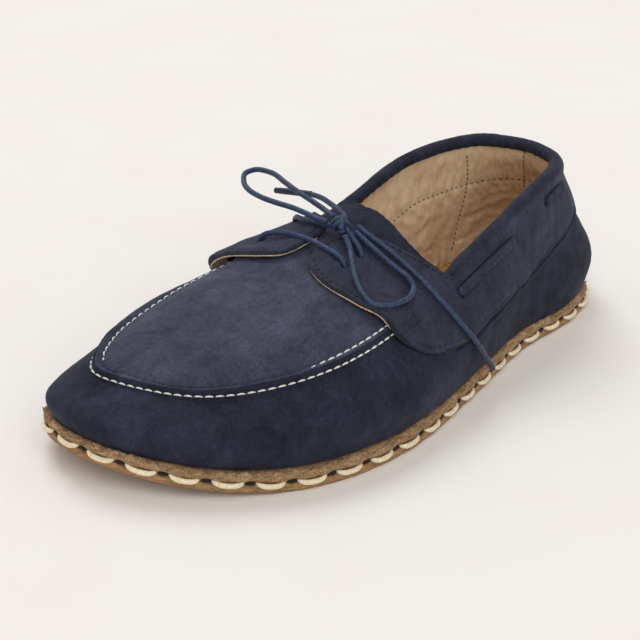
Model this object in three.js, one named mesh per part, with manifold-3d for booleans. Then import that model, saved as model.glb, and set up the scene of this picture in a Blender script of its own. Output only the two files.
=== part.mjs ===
// Boat shoe for the wearer's left foot, standing empty on its sole.
// Millimetres, +Z up, the toe towards -Y and the outer (lateral) side towards +X.
// The origin is on the sole's underside, on the heel's centre line, midway along.
import * as THREE from 'three';
import { mergeVertices } from 'three/addons/utils/BufferGeometryUtils.js';
import Module from 'manifold-3d';

const wasm = await Module();
wasm.setup();

// ---------------------------------------------------------------- driving sizes
const GAP = 0.3;                      // clearance between neighbouring pieces
const SLIVER = 0.03;                  // faces finer than this are merged away after a cut
const OUTSOLE_THICK = 3.6;
const MIDSOLE_THICK = 3.6;
const INSOLE_THICK = 2.4;
const WELT_LEDGE = 3;                 // how far the sole stands out past the upper
const WALL = 2;                       // leather and lining of the upper
const OVERLAY = 1.8;                  // facing, collar band and backstay leather
const TONGUE_THICK = 1.8;
const ROLL_RADIUS = 3;                // padded roll round the collar
const ROLL_SEAT = 0.5;                // clearance under the roll
const TOE_SPRING = { from: -82, to: -139, lift: 10.5 };

const UPPER_BASE = OUTSOLE_THICK + GAP + MIDSOLE_THICK + GAP;

// One row for each section, heel to toe. A section runs over the shoe from its
// lateral edge to its medial edge. `lat` and `med` are points [x, y] of the sole's
// edge; `bulge` is how far the low wall swells out past the sole seam; `inset` and
// `rim` place the collar line (behind the instep) or the moccasin seam (in front of
// it): how far inboard of the sole seam, and how high. `top` is the crown [x, y, z].
const SECTIONS = [
  { lat: [0, 137], med: [0, 137], bulge: [1.2, 1.2], inset: [27, 27], rim: [70, 70], top: [0, 82, 88] },
  { lat: [23, 128], med: [-22, 128], bulge: [1.2, 1.2], inset: [23, 23], rim: [70, 70], top: [0, 80, 88] },
  { lat: [33, 103], med: [-33, 101], bulge: [1.5, 1.5], inset: [11, 11], rim: [70, 70], top: [0, 70, 88] },
  { lat: [37, 62], med: [-33, 60], bulge: [1.5, 1.5], inset: [3, -1], rim: [65, 66], top: [0, 46, 84] },
  { lat: [49, 15], med: [-33, 15], bulge: [3, 2], inset: [12, -2], rim: [48, 52], top: [-4, 6, 68.5] },
  { lat: [60, -36], med: [-46, -32], bulge: [3.5, 3], inset: [11.5, 2], rim: [41, 41], top: [-8, -36, 54.5] },
  { lat: [57, -74], med: [-53, -70], bulge: [4, 3], inset: [11.5, 8], rim: [36.5, 36], top: [-9, -70, 46] },
  { lat: [41, -106], med: [-48, -105], bulge: [3.5, 3], inset: [12.5, 10.5], rim: [33, 32], top: [-9, -92, 41.5] },
  { lat: [20, -128], med: [-31, -134], bulge: [3, 3], inset: [17, 15.5], rim: [32, 31.5], top: [-9, -104, 38.5] },
  { lat: [-4, -139], med: [-4, -139], bulge: [3, 3], inset: [19.5, 19.5], rim: [31.5, 31.5], top: [-9, -108, 37.5] },
];
const STEPS_PER_SECTION = 4;
const WALL_ROWS = 12;
const LOW_WALL = { heel: 0.17, toe: 0.4, from: 60 };   // height of the widest point, as a share of the rim

// ---------------------------------------------------------------- the last
// A ring of columns goes round the shoe: heel, lateral side, toe, medial side.
const last = SECTIONS.length - 1;
const RING = [
  ...SECTIONS.map((s) => ({ at: s.lat, bulge: s.bulge[0], inset: s.inset[0], rim: s.rim[0], top: s.top })),
  ...SECTIONS.slice(1, last).reverse()
    .map((s) => ({ at: s.med, bulge: s.bulge[1], inset: s.inset[1], rim: s.rim[1], top: s.top })),
];
const COLUMNS = RING.length * STEPS_PER_SECTION;

const ringCurve = (pick, type) =>
  new THREE.CatmullRomCurve3(RING.map((r) => new THREE.Vector3(...pick(r))), true, type, 0.5);
const edgeCurve = ringCurve((r) => [r.at[0], r.at[1], 0], 'centripetal');
const shapeCurve = ringCurve((r) => [r.bulge, r.inset, r.rim], 'catmullrom');
const topCurve = ringCurve((r) => r.top, 'catmullrom');

const toeLift = (y) => {
  const share = Math.max(0, (TOE_SPRING.from - y) / (TOE_SPRING.from - TOE_SPRING.to));
  return TOE_SPRING.lift * share * share;
};

function outwardAt(share) {
  const along = edgeCurve.getTangent(share);
  return new THREE.Vector3(-along.y, along.x, 0).normalize();
}

// The sole's edge, moved inboard by `inset`, as points of the ring of columns.
function soleEdge(inset) {
  return Array.from({ length: COLUMNS }, (_, k) =>
    edgeCurve.getPoint(k / COLUMNS).addScaledVector(outwardAt(k / COLUMNS), -inset));
}

// One column of the last: from the sole seam out to the low wall, in to the rim
// and level over the crown, as WALL_ROWS + 1 points.
function column(k) {
  const share = k / COLUMNS;
  const foot = edgeCurve.getPoint(share).addScaledVector(outwardAt(share), -WELT_LEDGE);
  const shape = shapeCurve.getPoint(share);
  const top = topCurve.getPoint(share);
  const inboard = new THREE.Vector3(top.x - foot.x, top.y - foot.y, 0);
  const reach = inboard.length();
  inboard.divideScalar(reach);
  const base = UPPER_BASE + toeLift(foot.y);
  const low = foot.y > LOW_WALL.from ? LOW_WALL.heel : LOW_WALL.toe;
  const knots = [[0, base], [-shape.x, base + low * (shape.z - base)], [shape.y, shape.z], [reach, top.z]]
    .map(([u, z]) => new THREE.Vector2(u, z));
  const chord = knots.slice(1).map((p, i) => p.distanceTo(knots[i]));
  const slope = knots.slice(1).map((p, i) => p.clone().sub(knots[i]).divideScalar(chord[i]));
  const blend = (i) => slope[i - 1].clone().multiplyScalar(chord[i])
    .addScaledVector(slope[i], chord[i - 1]).divideScalar(chord[i] + chord[i - 1]);
  const aim = [null, blend(1), blend(2), new THREE.Vector2(1, 0)];
  aim[0] = slope[0].clone().multiplyScalar(1.5).addScaledVector(aim[1], -0.5);
  const total = chord[0] + chord[1] + chord[2];
  const points = Array.from({ length: WALL_ROWS + 1 }, (_, j) => {
    let run = (j / WALL_ROWS) * total;
    let i = 0;
    while (i < 2 && run > chord[i]) run -= chord[i++];
    const w = Math.min(run / chord[i], 1);
    const p = knots[i].clone().multiplyScalar(2 * w ** 3 - 3 * w * w + 1)
      .addScaledVector(aim[i], chord[i] * (w ** 3 - 2 * w * w + w))
      .addScaledVector(knots[i + 1], 3 * w * w - 2 * w ** 3)
      .addScaledVector(aim[i + 1], chord[i] * (w ** 3 - w * w));
    return foot.clone().addScaledVector(inboard, p.x).setZ(p.y);
  });
  return { points, rim: foot.clone().addScaledVector(inboard, shape.y).setZ(shape.z) };
}
const COLUMN = Array.from({ length: COLUMNS }, (_, k) => column(k));
const LAST = COLUMN.map((c) => c.points);
const RIM = COLUMN.map((c) => c.rim);

// Outward directions of the last's points, level along the foot and upright along the crown.
const NORMALS = LAST.map((points, k) => points.map((_, j) => {
  const before = LAST[(k + COLUMNS - 1) % COLUMNS];
  const after = LAST[(k + 1) % COLUMNS];
  if (j === WALL_ROWS) {
    const mate = LAST[(COLUMNS - k + 1) % COLUMNS][j];
    const along = after[j].clone().sub(k === 0 ? points[j] : before[j]);
    if (along.length() < 1e-6) along.copy(points[j]).sub(mate);
    return new THREE.Vector3(0, -along.z * Math.sign(along.y), Math.abs(along.y)).normalize();
  }
  const round = after[j].clone().sub(before[j]);
  const rise = points[Math.min(j + 1, WALL_ROWS)].clone().sub(points[Math.max(j - 1, 0)]);
  const out = rise.cross(round);
  if (j === 0) out.z = 0;
  return out.normalize();
}));

// ---------------------------------------------------------------- solids
function solidFrom(vertices, faces) {
  const geometry = new THREE.BufferGeometry();
  geometry.setAttribute('position', new THREE.Float32BufferAttribute(vertices.flatMap((v) => [v.x, v.y, v.z]), 3));
  geometry.setIndex(faces.flat());
  return manifoldOf(geometry);
}
function manifoldOf(source) {
  const bare = source.clone();
  bare.deleteAttribute('normal');
  bare.deleteAttribute('uv');
  const merged = mergeVertices(bare, 1e-4);
  const mesh = new wasm.Mesh({
    numProp: 3,
    vertProperties: new Float32Array(merged.attributes.position.array),
    triVerts: new Uint32Array(merged.index.array),
  });
  mesh.merge();
  return new wasm.Manifold(mesh);
}

// The last, grown by `grow` along its normals, with its foot carried down by `below`.
function form(grow, below = 0) {
  const rings = [];
  if (below > 0) {
    rings.push(LAST.map((points, k) =>
      points[0].clone().addScaledVector(NORMALS[k][0], grow).setZ(points[0].z - below)));
  }
  for (let j = 0; j <= WALL_ROWS; j += 1) {
    rings.push(LAST.map((points, k) => points[j].clone().addScaledVector(NORMALS[k][j], grow)));
  }
  const crown = rings[rings.length - 1];
  for (let k = 1; k < COLUMNS / 2; k += 1) crown[COLUMNS - k].copy(crown[k]);
  const faces = [];
  for (let r = 0; r + 1 < rings.length; r += 1) {
    for (let k = 0; k < COLUMNS; k += 1) {
      const [a, b] = [r * COLUMNS + k, r * COLUMNS + ((k + 1) % COLUMNS)];
      faces.push([a, b + COLUMNS, b], [a, a + COLUMNS, b + COLUMNS]);
    }
  }
  for (let k = 0; k < COLUMNS / 2; k += 1) {       // the foot, closed with rungs across
    const [a, b] = [k, k + 1];
    const [c, d] = [(COLUMNS - k) % COLUMNS, COLUMNS - k - 1];
    if (k > 0) faces.push([a, b, c]);
    if (k + 1 < COLUMNS / 2) faces.push([b, d, c]);
  }
  return solidFrom(rings.flat(), faces);
}

// A flat layer of the sole between two heights, bent up at the toe.
function layer(inset, from, to) {
  const ring = soleEdge(inset);
  const at = (p, z) => p.clone().setZ(z + toeLift(p.y));
  const vertices = [...ring.map((p) => at(p, from)), ...ring.map((p) => at(p, to))];
  const faces = [];
  for (let k = 0; k < COLUMNS; k += 1) {
    const next = (k + 1) % COLUMNS;
    faces.push([k, next + COLUMNS, next], [k, k + COLUMNS, next + COLUMNS]);
  }
  for (let k = 0; k < COLUMNS / 2; k += 1) {
    const [a, b] = [k, k + 1];
    const [c, d] = [(COLUMNS - k) % COLUMNS, COLUMNS - k - 1];
    if (k > 0) faces.push([a, b, c], [COLUMNS + a, COLUMNS + c, COLUMNS + b]);
    if (k + 1 < COLUMNS / 2) faces.push([b, d, c], [COLUMNS + b, COLUMNS + c, COLUMNS + d]);
  }
  return solidFrom(vertices, faces);
}

// A closed solid through rings of points, each as many points round, which turn
// left when seen from before the first ring.
function loft(rings) {
  const n = rings[0].length;
  const faces = [];
  for (let r = 0; r + 1 < rings.length; r += 1) {
    for (let i = 0; i < n; i += 1) {
      const [a, b] = [r * n + i, r * n + ((i + 1) % n)];
      faces.push([a, b + n, b], [a, a + n, b + n]);
    }
  }
  const end = (rings.length - 1) * n;
  for (let i = 1; i + 1 < n; i += 1) faces.push([0, i, i + 1], [end, end + i + 1, end + i]);
  return solidFrom(rings.flat(), faces);
}

// An outline extruded: a "plan" outline is [x, y] and rises along Z, a "side" one is
// [y, z] and runs along X, and a "back" one is [x, z] and runs along Y.
function prism(shape, from, to, facing) {
  const geometry = new THREE.ExtrudeGeometry(shape, { depth: to - from, bevelEnabled: false, curveSegments: 6 });
  geometry.translate(0, 0, from);
  const [x, y, z] = [[1, 0, 0], [0, 1, 0], [0, 0, 1]].map((v) => new THREE.Vector3(...v));
  if (facing === 'side') geometry.applyMatrix4(new THREE.Matrix4().makeBasis(y, z, x));
  if (facing === 'back') {
    geometry.translate(0, 0, -from - to);
    geometry.applyMatrix4(new THREE.Matrix4().makeBasis(x, z, y.clone().negate()));
  }
  return manifoldOf(geometry);
}
const shapeOf = (start, ...steps) => {
  const shape = new THREE.Shape();
  shape.moveTo(...start);
  for (const step of steps) {
    if (Array.isArray(step[0])) shape.splineThru(step.map(([a, b]) => new THREE.Vector2(a, b)));
    else shape.lineTo(...step);
  }
  shape.closePath();
  return shape;
};

// ---------------------------------------------------------------- openings
const THROAT_SECTION = 4;
const THROAT_COLUMN = THROAT_SECTION * STEPS_PER_SECTION;
const ABOVE = 160;                    // higher than everything

// Everything above the collar line, `drop` below the middle of the padded roll. The
// cut is level under the roll on each side and slopes between the two sides.
function aboveCollar(drop) {
  const beyond = 25;
  const underRoll = 5;
  const station = (lat, med, across) => {
    const low = (p, out) => p.clone().addScaledVector(across, out).setZ(p.z - drop);
    const high = (p, out) => p.clone().addScaledVector(across, out).setZ(ABOVE);
    return [
      low(lat, -underRoll), low(lat, beyond), high(lat, beyond),
      high(med, -beyond), low(med, -beyond), low(med, underRoll),
    ];
  };
  const rings = [];
  for (let k = THROAT_COLUMN; k >= 3; k -= 1) {
    const [lat, med] = [RIM[k], RIM[COLUMNS - k]];
    rings.push(station(lat, med, lat.clone().sub(med).setZ(0).normalize()));
  }
  const back = (x) => new THREE.Vector3(x, RIM[0].y + beyond, RIM[0].z);
  rings.push(station(back(6), back(-6), new THREE.Vector3(1, 0, 0)));
  return loft(rings);
}
const throatGap = () => prism(
  shapeOf([-6, -15], [0, -15], [13, -6], [31, 6.5], [37, 12.5], [28, 19], [-28, 21], [-36, 14.5], [-31, 7], [-19, -6]),
  44, ABOVE, 'plan');

// ---------------------------------------------------------------- pieces
const opening = aboveCollar(ROLL_RADIUS + ROLL_SEAT).add(throatGap());

function upper() {
  return form(0).subtract(form(-WALL, 6)).subtract(opening);
}

// A leather layer lying over the upper, before it is cut to its outline.
const overlay = (thick) => form(GAP + thick).subtract(form(GAP, 6));

// A facing with its collar band, seen from the side: the free front edge over the
// instep, the round lobe at the ball, and the lower edge that rises to the heel.
const BAND_SIDE = shapeOf(
  [-12, ABOVE], [-16, 66],
  [[-20, 63], [-28, 59.5], [-35, 56.5], [-38, 53], [-37, 49], [-35, 44], [-31.5, 38],
    [-22, 32.5], [-9, 29.5], [0, 28.8], [8, 30.2]],
  [[32, 33.8], [50, 37], [72, 43], [96, 48], [150, 52]],
  [150, ABOVE]);
// The two bands part over the tongue and meet down the middle of the heel.
const FACING_EDGE = { lat: 0.5, med: -6.5, straightTo: -5 };
const HEEL_EDGE = { half: GAP / 2, from: 60 };
const band = (edge, side) => overlay(OVERLAY).subtract(opening)
  .intersect(prism(BAND_SIDE, -90, 90, 'side'))
  .intersect(prism(shapeOf(
    [edge, -60], [edge, FACING_EDGE.straightTo], [side * HEEL_EDGE.half, HEEL_EDGE.from],
    [side * HEEL_EDGE.half, 160], [side * 100, 160], [side * 100, -60]), -5, ABOVE, 'plan'));

// The strip up the back of the heel, as wide at the foot as `low`, ending under the bands.
const BACKSTAY = { low: 34, high: 25, top: 49.5, thick: 1.4 };
const backstay = () => overlay(BACKSTAY.thick).intersect(prism(
  shapeOf([-BACKSTAY.low / 2, 0], [BACKSTAY.low / 2, 0],
    [BACKSTAY.high / 2, BACKSTAY.top], [-BACKSTAY.high / 2, BACKSTAY.top]), 95, 160, 'back'));

// The tongue lies inside the facings, from under the vamp to its free rounded end.
const TONGUE_PLAN = shapeOf(
  [-22, -36], [10, -36], [23, -14], [29, 8],
  [[26, 7], [20, 6], [11, 6.4], [-2, 7], [-14, 7.5], [-22, 7.6], [-28, 9.5]],
  [-29, 4], [-26, -14]);
const tongue = () => form(-WALL - GAP).subtract(form(-WALL - GAP - TONGUE_THICK, 6))
  .intersect(prism(TONGUE_PLAN, 30, ABOVE, 'plan'));

// ---------------------------------------------------------------- round pieces
const roundSection = (radius, sides) => new THREE.Shape(Array.from({ length: sides }, (_, i) => {
  const turn = (2 * Math.PI * i) / sides;
  return new THREE.Vector2(radius * Math.cos(turn), radius * Math.sin(turn));
}));
function tube(points, radius, sides, stepLength) {
  const path = new THREE.CatmullRomCurve3(points.map((p) => (Array.isArray(p) ? new THREE.Vector3(...p) : p)));
  const steps = Math.max(1, Math.round(path.getLength() / stepLength));
  return manifoldOf(new THREE.ExtrudeGeometry(roundSection(radius, sides), {
    steps, extrudePath: path, bevelEnabled: false,
  }));
}

const ROLL_SIDES = 10;
const ROLL_STEP = 7;
function collarRoll() {
  const route = [];
  for (let k = THROAT_COLUMN; k >= -THROAT_COLUMN; k -= 2) route.push(RIM[(k + COLUMNS) % COLUMNS]);
  return tube(route, ROLL_RADIUS, ROLL_SIDES, ROLL_STEP);
}

// The lace: its bars over the facings, then the knot with the bow's loops and ends.
const LACE_RADIUS = 1.15;
const AGLET_RADIUS = 1.3;
const LACE_SIDES = 8;
const LACE_STEP = 6;
const KNOT = { at: [2.8, -16, 66.8], radii: [4.4, 3.2, 2.6] };
const BARS = {
  lace_bar_front: [
    [-25.5, -27.4, 57.8], [-22, -26.4, 59.4], [-17, -26, 60.6], [-10.2, -26.3, 61.5], [-2.4, -26.3, 61.6],
    [5, -26.4, 60.9], [9.5, -26.2, 60.2], [13, -26.4, 59.2]],
  lace_bar_medial: [
    [-25.5, -11, 60.5], [-21.2, -14.6, 62.3], [-17.4, -15.6, 63.2], [-11.2, -16.3, 64.2], [-6, -16.4, 64.8], [-2.4, -16.3, 65.2]],
  lace_bar_lateral: [[13.2, -17.3, 61.5], [11, -16.8, 62.4], [8.4, -16.4, 64]],
};
const CORDS = {
  lace_loop_medial: [
    [-2.2, -14.9, 68.4], [-9.3, -13.4, 69.4], [-16.5, -13.2, 71], [-24.2, -12.3, 72], [-32.7, -10.6, 73],
    [-43.3, -8.5, 74], [-49.6, -10.4, 74], [-50.2, -15.4, 73.7], [-46.6, -20.2, 73], [-38.7, -25, 72],
    [-31.7, -25.2, 71], [-25.3, -23.3, 70], [-19.3, -20.6, 69], [-12.6, -19.2, 68], [-7, -18.9, 67.4], [-2.2, -18.4, 67.4]],
  lace_loop_lateral: [
    [7.4, -19.2, 65], [10.9, -20.6, 62.9], [17.6, -25.7, 59.3], [25, -31.4, 56], [31.7, -34.6, 53], [36.8, -34.9, 51],
    [39.4, -31.4, 50], [40.7, -24.4, 49.6], [39.6, -16.6, 50], [37.2, -12.8, 51.4], [34, -11.8, 53.5],
    [29.8, -13, 56], [23.8, -14.1, 58.9], [16.6, -14, 61.8], [11.6, -13.7, 63.6], [8, -13.8, 65.4]],
  lace_end_short: [
    [0.6, -11.9, 68.6], [-4, -9.6, 68.8], [-12.4, -6, 68.7], [-21.6, -2.8, 68.2], [-26.9, -2, 67.6]],
  lace_end_long: [
    [6.8, -11.4, 66.6], [11, -10.6, 64.4], [17.4, -10, 62], [23.1, -9.2, 59.6], [30.1, -7.9, 55.8], [37.5, -6.1, 50.8],
    [43.1, -4.3, 45.8], [48.2, -1.8, 40.3], [52, 1.8, 34.2], [53.4, 5.6, 29.4], [53.1, 8.4, 26]],
};
const AGLETS = {
  lace_aglet_short: [[-27.4, -2.05, 67.55], [-45, -4.7, 65]],
  lace_aglet_long: [[53.05, 8.75, 25.6], [52.8, 20.4, 11]],
};
const knot = () => manifoldOf(new THREE.SphereGeometry(1, 12, 8).scale(...KNOT.radii).translate(...KNOT.at));

// ---------------------------------------------------------------- the shoe
const LEATHER = {
  navy: { color: '#2e3142', roughness: 0.85, metalness: 0 },
  tan: { color: '#a9845a', roughness: 0.8, metalness: 0 },
  insole: { color: '#9c7242', roughness: 0.6, metalness: 0 },
  lace: { color: '#27334a', roughness: 0.45, metalness: 0 },
};
function node(name, solid, finish) {
  const { vertProperties, triVerts } = solid.asOriginal().simplify(SLIVER).getMesh();
  const geometry = new THREE.BufferGeometry();
  geometry.setAttribute('position', new THREE.BufferAttribute(vertProperties, 3));
  geometry.setIndex(new THREE.BufferAttribute(triVerts, 1));
  geometry.computeVertexNormals();
  const mesh = new THREE.Mesh(geometry, new THREE.MeshStandardMaterial(finish));
  mesh.name = name;
  return mesh;
}

const midsoleBase = OUTSOLE_THICK + GAP;
const shoe = new THREE.Group();
shoe.add(
  node('outsole', layer(0, 0, OUTSOLE_THICK), LEATHER.tan),
  node('midsole', layer(0, midsoleBase, midsoleBase + MIDSOLE_THICK), LEATHER.tan),
  node('insole', layer(WELT_LEDGE + WALL + GAP, UPPER_BASE, UPPER_BASE + INSOLE_THICK), LEATHER.insole),
  node('upper', upper(), LEATHER.navy),
  node('tongue', tongue(), LEATHER.navy),
  node('band_lateral', band(FACING_EDGE.lat, 1), LEATHER.navy),
  node('band_medial', band(FACING_EDGE.med, -1), LEATHER.navy),
  node('backstay', backstay(), LEATHER.navy),
  node('collar_roll', collarRoll(), LEATHER.navy),
);
for (const [name, points] of Object.entries({ ...BARS, ...CORDS })) {
  shoe.add(node(name, tube(points, LACE_RADIUS, LACE_SIDES, LACE_STEP), LEATHER.lace));
}
for (const [name, points] of Object.entries(AGLETS)) {
  shoe.add(node(name, tube(points, AGLET_RADIUS, LACE_SIDES, 20), LEATHER.lace));
}
shoe.add(node('lace_knot', knot(), LEATHER.lace));

export default shoe;
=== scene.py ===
"""The looks of a left boat shoe: navy nubuck, tan leather sole, round waxed lace.

Shapes are worked out in millimetres on the shoe's last, as in the CAD source, and
become Blender meshes in metres. The toe points to -Y and the outer side to +X.
"""

import math

import bmesh
import bpy
import numpy as np
from mathutils import Matrix, Vector


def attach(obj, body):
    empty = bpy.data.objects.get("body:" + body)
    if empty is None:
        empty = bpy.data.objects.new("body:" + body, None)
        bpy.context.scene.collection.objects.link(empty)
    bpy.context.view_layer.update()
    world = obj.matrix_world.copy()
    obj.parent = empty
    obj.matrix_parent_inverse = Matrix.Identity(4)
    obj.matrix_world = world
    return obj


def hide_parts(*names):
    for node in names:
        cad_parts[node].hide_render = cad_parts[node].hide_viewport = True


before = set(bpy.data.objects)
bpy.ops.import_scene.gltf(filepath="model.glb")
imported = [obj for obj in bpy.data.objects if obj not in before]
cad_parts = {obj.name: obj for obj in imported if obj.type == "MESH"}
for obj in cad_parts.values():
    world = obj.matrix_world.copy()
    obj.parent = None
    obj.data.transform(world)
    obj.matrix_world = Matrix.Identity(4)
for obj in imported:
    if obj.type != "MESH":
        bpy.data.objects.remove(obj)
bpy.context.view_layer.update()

# ------------------------------------------------------------------ sizes (mm)
MM = 0.001
OUTSOLE_TOP = 3.75
MIDSOLE_TOP = 7.5
UPPER_BASE = 7.8
INSOLE_TOP = 10.2
WELT_LEDGE = 3.0
FOOT_OUT = 1.6                    # beside the waist the wall stands this much nearer the sole's edge
HEEL_LEDGE_CUT = 2.0              # the welt shows this much less behind the heel
HEEL_REACH = 0.09                 # ring share over which the heel's own shape fades
WALL = 2.0
GAP = 0.3
BAND_OUT = 2.1                    # outer face of the facings and collar band
ROLL_RADIUS = 2.8
LACE_RADIUS = 1.15
TOE_SPRING = (-82.0, -139.0, 10.5)    # starts at y, ends at y, lift
SEAM_INBOARD = 1.5                # the moccasin ridge stands this far in from the rim
RIDGE_HEIGHT = 1.3
RIDGE_TOE = 1.3                   # and this much taller round the toe
RIDGE_HALF = 1.55
STITCH_OFF = 1.95                 # each white stitch row runs this far from the ridge's crest
MOC_PITCH = 3.7
HEEL_LEAN = (3.4, 1.5)            # the quarters curve in this much half way up, and close under the rim,
HEEL_LEAN_MORE = 0.9              # and this many times as much again behind the heel
SOLE_PITCH = 15.4
SOLE_STITCH = 11.2                # length of a sole stitch
SOLE_STITCH_HEIGHT = 3.55
SOLE_HOLE = 3.6                   # length of the dark slot between two sole stitches

# Sections of the last, heel to toe: sole edge [x, y] lateral and medial, then for
# (lateral, medial) the low wall's bulge, the rim's inset and height, and the crown.
SECTIONS = [
    ((0, 134.5), (0, 134.5), (3.2, 3.2), (27.8, 27.8), (70, 70), (0, 82, 88)),
    ((22.4, 126), (-21.5, 126), (2.8, 2.8), (24, 24), (70, 70), (0, 80, 88)),
    ((33, 103), (-33, 101), (1.8, 1.8), (11.8, 11.8), (70, 70), (0, 70, 88)),
    ((37, 62), (-33, 60), (1.5, 1.5), (3, -1), (65, 66), (0, 46, 84)),
    ((49, 15), (-33, 15), (3, 2), (12, -2), (48, 52), (-4, 6, 68.5)),
    ((60, -36), (-46, -32), (3.5, 3), (11.5, 2), (41, 41), (-8, -36, 54.5)),
    ((57, -74), (-53, -70), (4, 3), (11.5, 8), (36.5, 36), (-9, -70, 46)),
    ((41, -106), (-48, -105), (3.5, 2.0), (12.5, 10.5), (33, 32), (-9, -92, 41.5)),
    ((20, -128), (-31, -134), (3, 2.0), (17, 15.5), (32, 31.5), (-9, -104, 38.5)),
    ((-4, -139), (-4, -139), (2.6, 2.6), (18.0, 18.0), (31.5, 31.5), (-9, -108, 37.5)),
]
BACK = SECTIONS[-2:0:-1]          # the same sections, toe to heel, for the medial side
EDGE = [s[0] for s in SECTIONS] + [s[1] for s in BACK]
SHAPE = [[pair[0] for pair in s[2:5]] for s in SECTIONS] + [[pair[1] for pair in s[2:5]] for s in BACK]
CROWN = [s[5] for s in SECTIONS + BACK]
THROAT = 4 / len(EDGE)            # ring share of the section where the collar meets the throat


# ------------------------------------------------------------------ curves
def hermite(p, q, m, n, w):
    """Cubic from p to q with end slopes m and n, at shares w."""
    return (p * (2 * w**3 - 3 * w**2 + 1) + m * (w**3 - 2 * w**2 + w)
            + q * (3 * w**2 - 2 * w**3) + n * (w**3 - w**2))


def catmull(points, t, centripetal=False):
    """Points of a closed Catmull-Rom curve; t counts its control points."""
    p = np.asarray(points, float)
    t = np.asarray(t, float) % len(p)
    i = np.floor(t).astype(int)
    w = (t - i)[:, None]
    a, b, c, d = (p[(i + k) % len(p)] for k in (-1, 0, 1, 2))
    if not centripetal:
        return hermite(b, c, (c - a) / 2, (d - b) / 2, w)
    ab, bc, cd = (np.sqrt(np.linalg.norm(q - p, axis=1))[:, None]
                  for p, q in ((a, b), (b, c), (c, d)))
    m = ((b - a) / ab - (c - a) / (ab + bc) + (c - b) / bc) * bc
    n = ((c - b) / bc - (d - b) / (bc + cd) + (d - c) / cd) * bc
    return hermite(b, c, m, n, w)


def smooth(points, per_step=16):
    """A smooth open curve through three or more points, as a fine polyline."""
    p = np.asarray(points, float)
    chord = np.linalg.norm(np.diff(p, axis=0), axis=1)[:, None]
    slope = np.diff(p, axis=0) / chord
    aim = np.zeros_like(p)
    aim[1:-1] = (slope[:-1] * chord[1:] + slope[1:] * chord[:-1]) / (chord[:-1] + chord[1:])
    aim[0] = 1.5 * slope[0] - 0.5 * aim[1]
    aim[-1] = 1.5 * slope[-1] - 0.5 * aim[-2]
    w = np.linspace(0, 1, per_step, endpoint=False)[:, None]
    runs = [hermite(p[i], p[i + 1], aim[i] * chord[i], aim[i + 1] * chord[i], w) for i in range(len(chord))]
    return np.vstack(runs + [p[-1:]])


def arc(points):
    """Running length of a polyline."""
    return np.concatenate([[0], np.cumsum(np.linalg.norm(np.diff(points, axis=0), axis=1))])


def at_length(values, run, where):
    """Rows of values at the running lengths where."""
    return np.stack([np.interp(where, run, column) for column in np.asarray(values).T], 1)


def turns(count):
    """Angles evenly spaced round a circle."""
    return np.linspace(0, 2 * math.pi, count, endpoint=False)


def unit(v):
    return v / np.maximum(np.linalg.norm(v, axis=-1, keepdims=True), 1e-9)


def ease(x, low, high):
    """0 below low, 1 above high, smooth between."""
    w = np.clip((x - low) / (high - low), 0, 1)
    return w * w * (3 - 2 * w)


def bell(x, width):
    """1 at 0, fading to nothing about twice the width away."""
    return np.exp(-(x / width) ** 2)


# ------------------------------------------------------------------ the last
def toe_lift(y):
    start, end, lift = TOE_SPRING
    return lift * np.maximum(0, (start - y) / (start - end)) ** 2


def sole_edge(s, inset=0.0):
    """Points [x, y] of the sole's edge at ring shares s, moved inboard."""
    t = np.asarray(s, float) * len(EDGE)
    along = catmull(EDGE, t + 1e-3, True) - catmull(EDGE, t - 1e-3, True)
    out = unit(np.stack([-along[:, 1], along[:, 0]], 1))
    return catmull(EDGE, t, True) - out * np.reshape(inset, (-1, 1)), out


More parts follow.
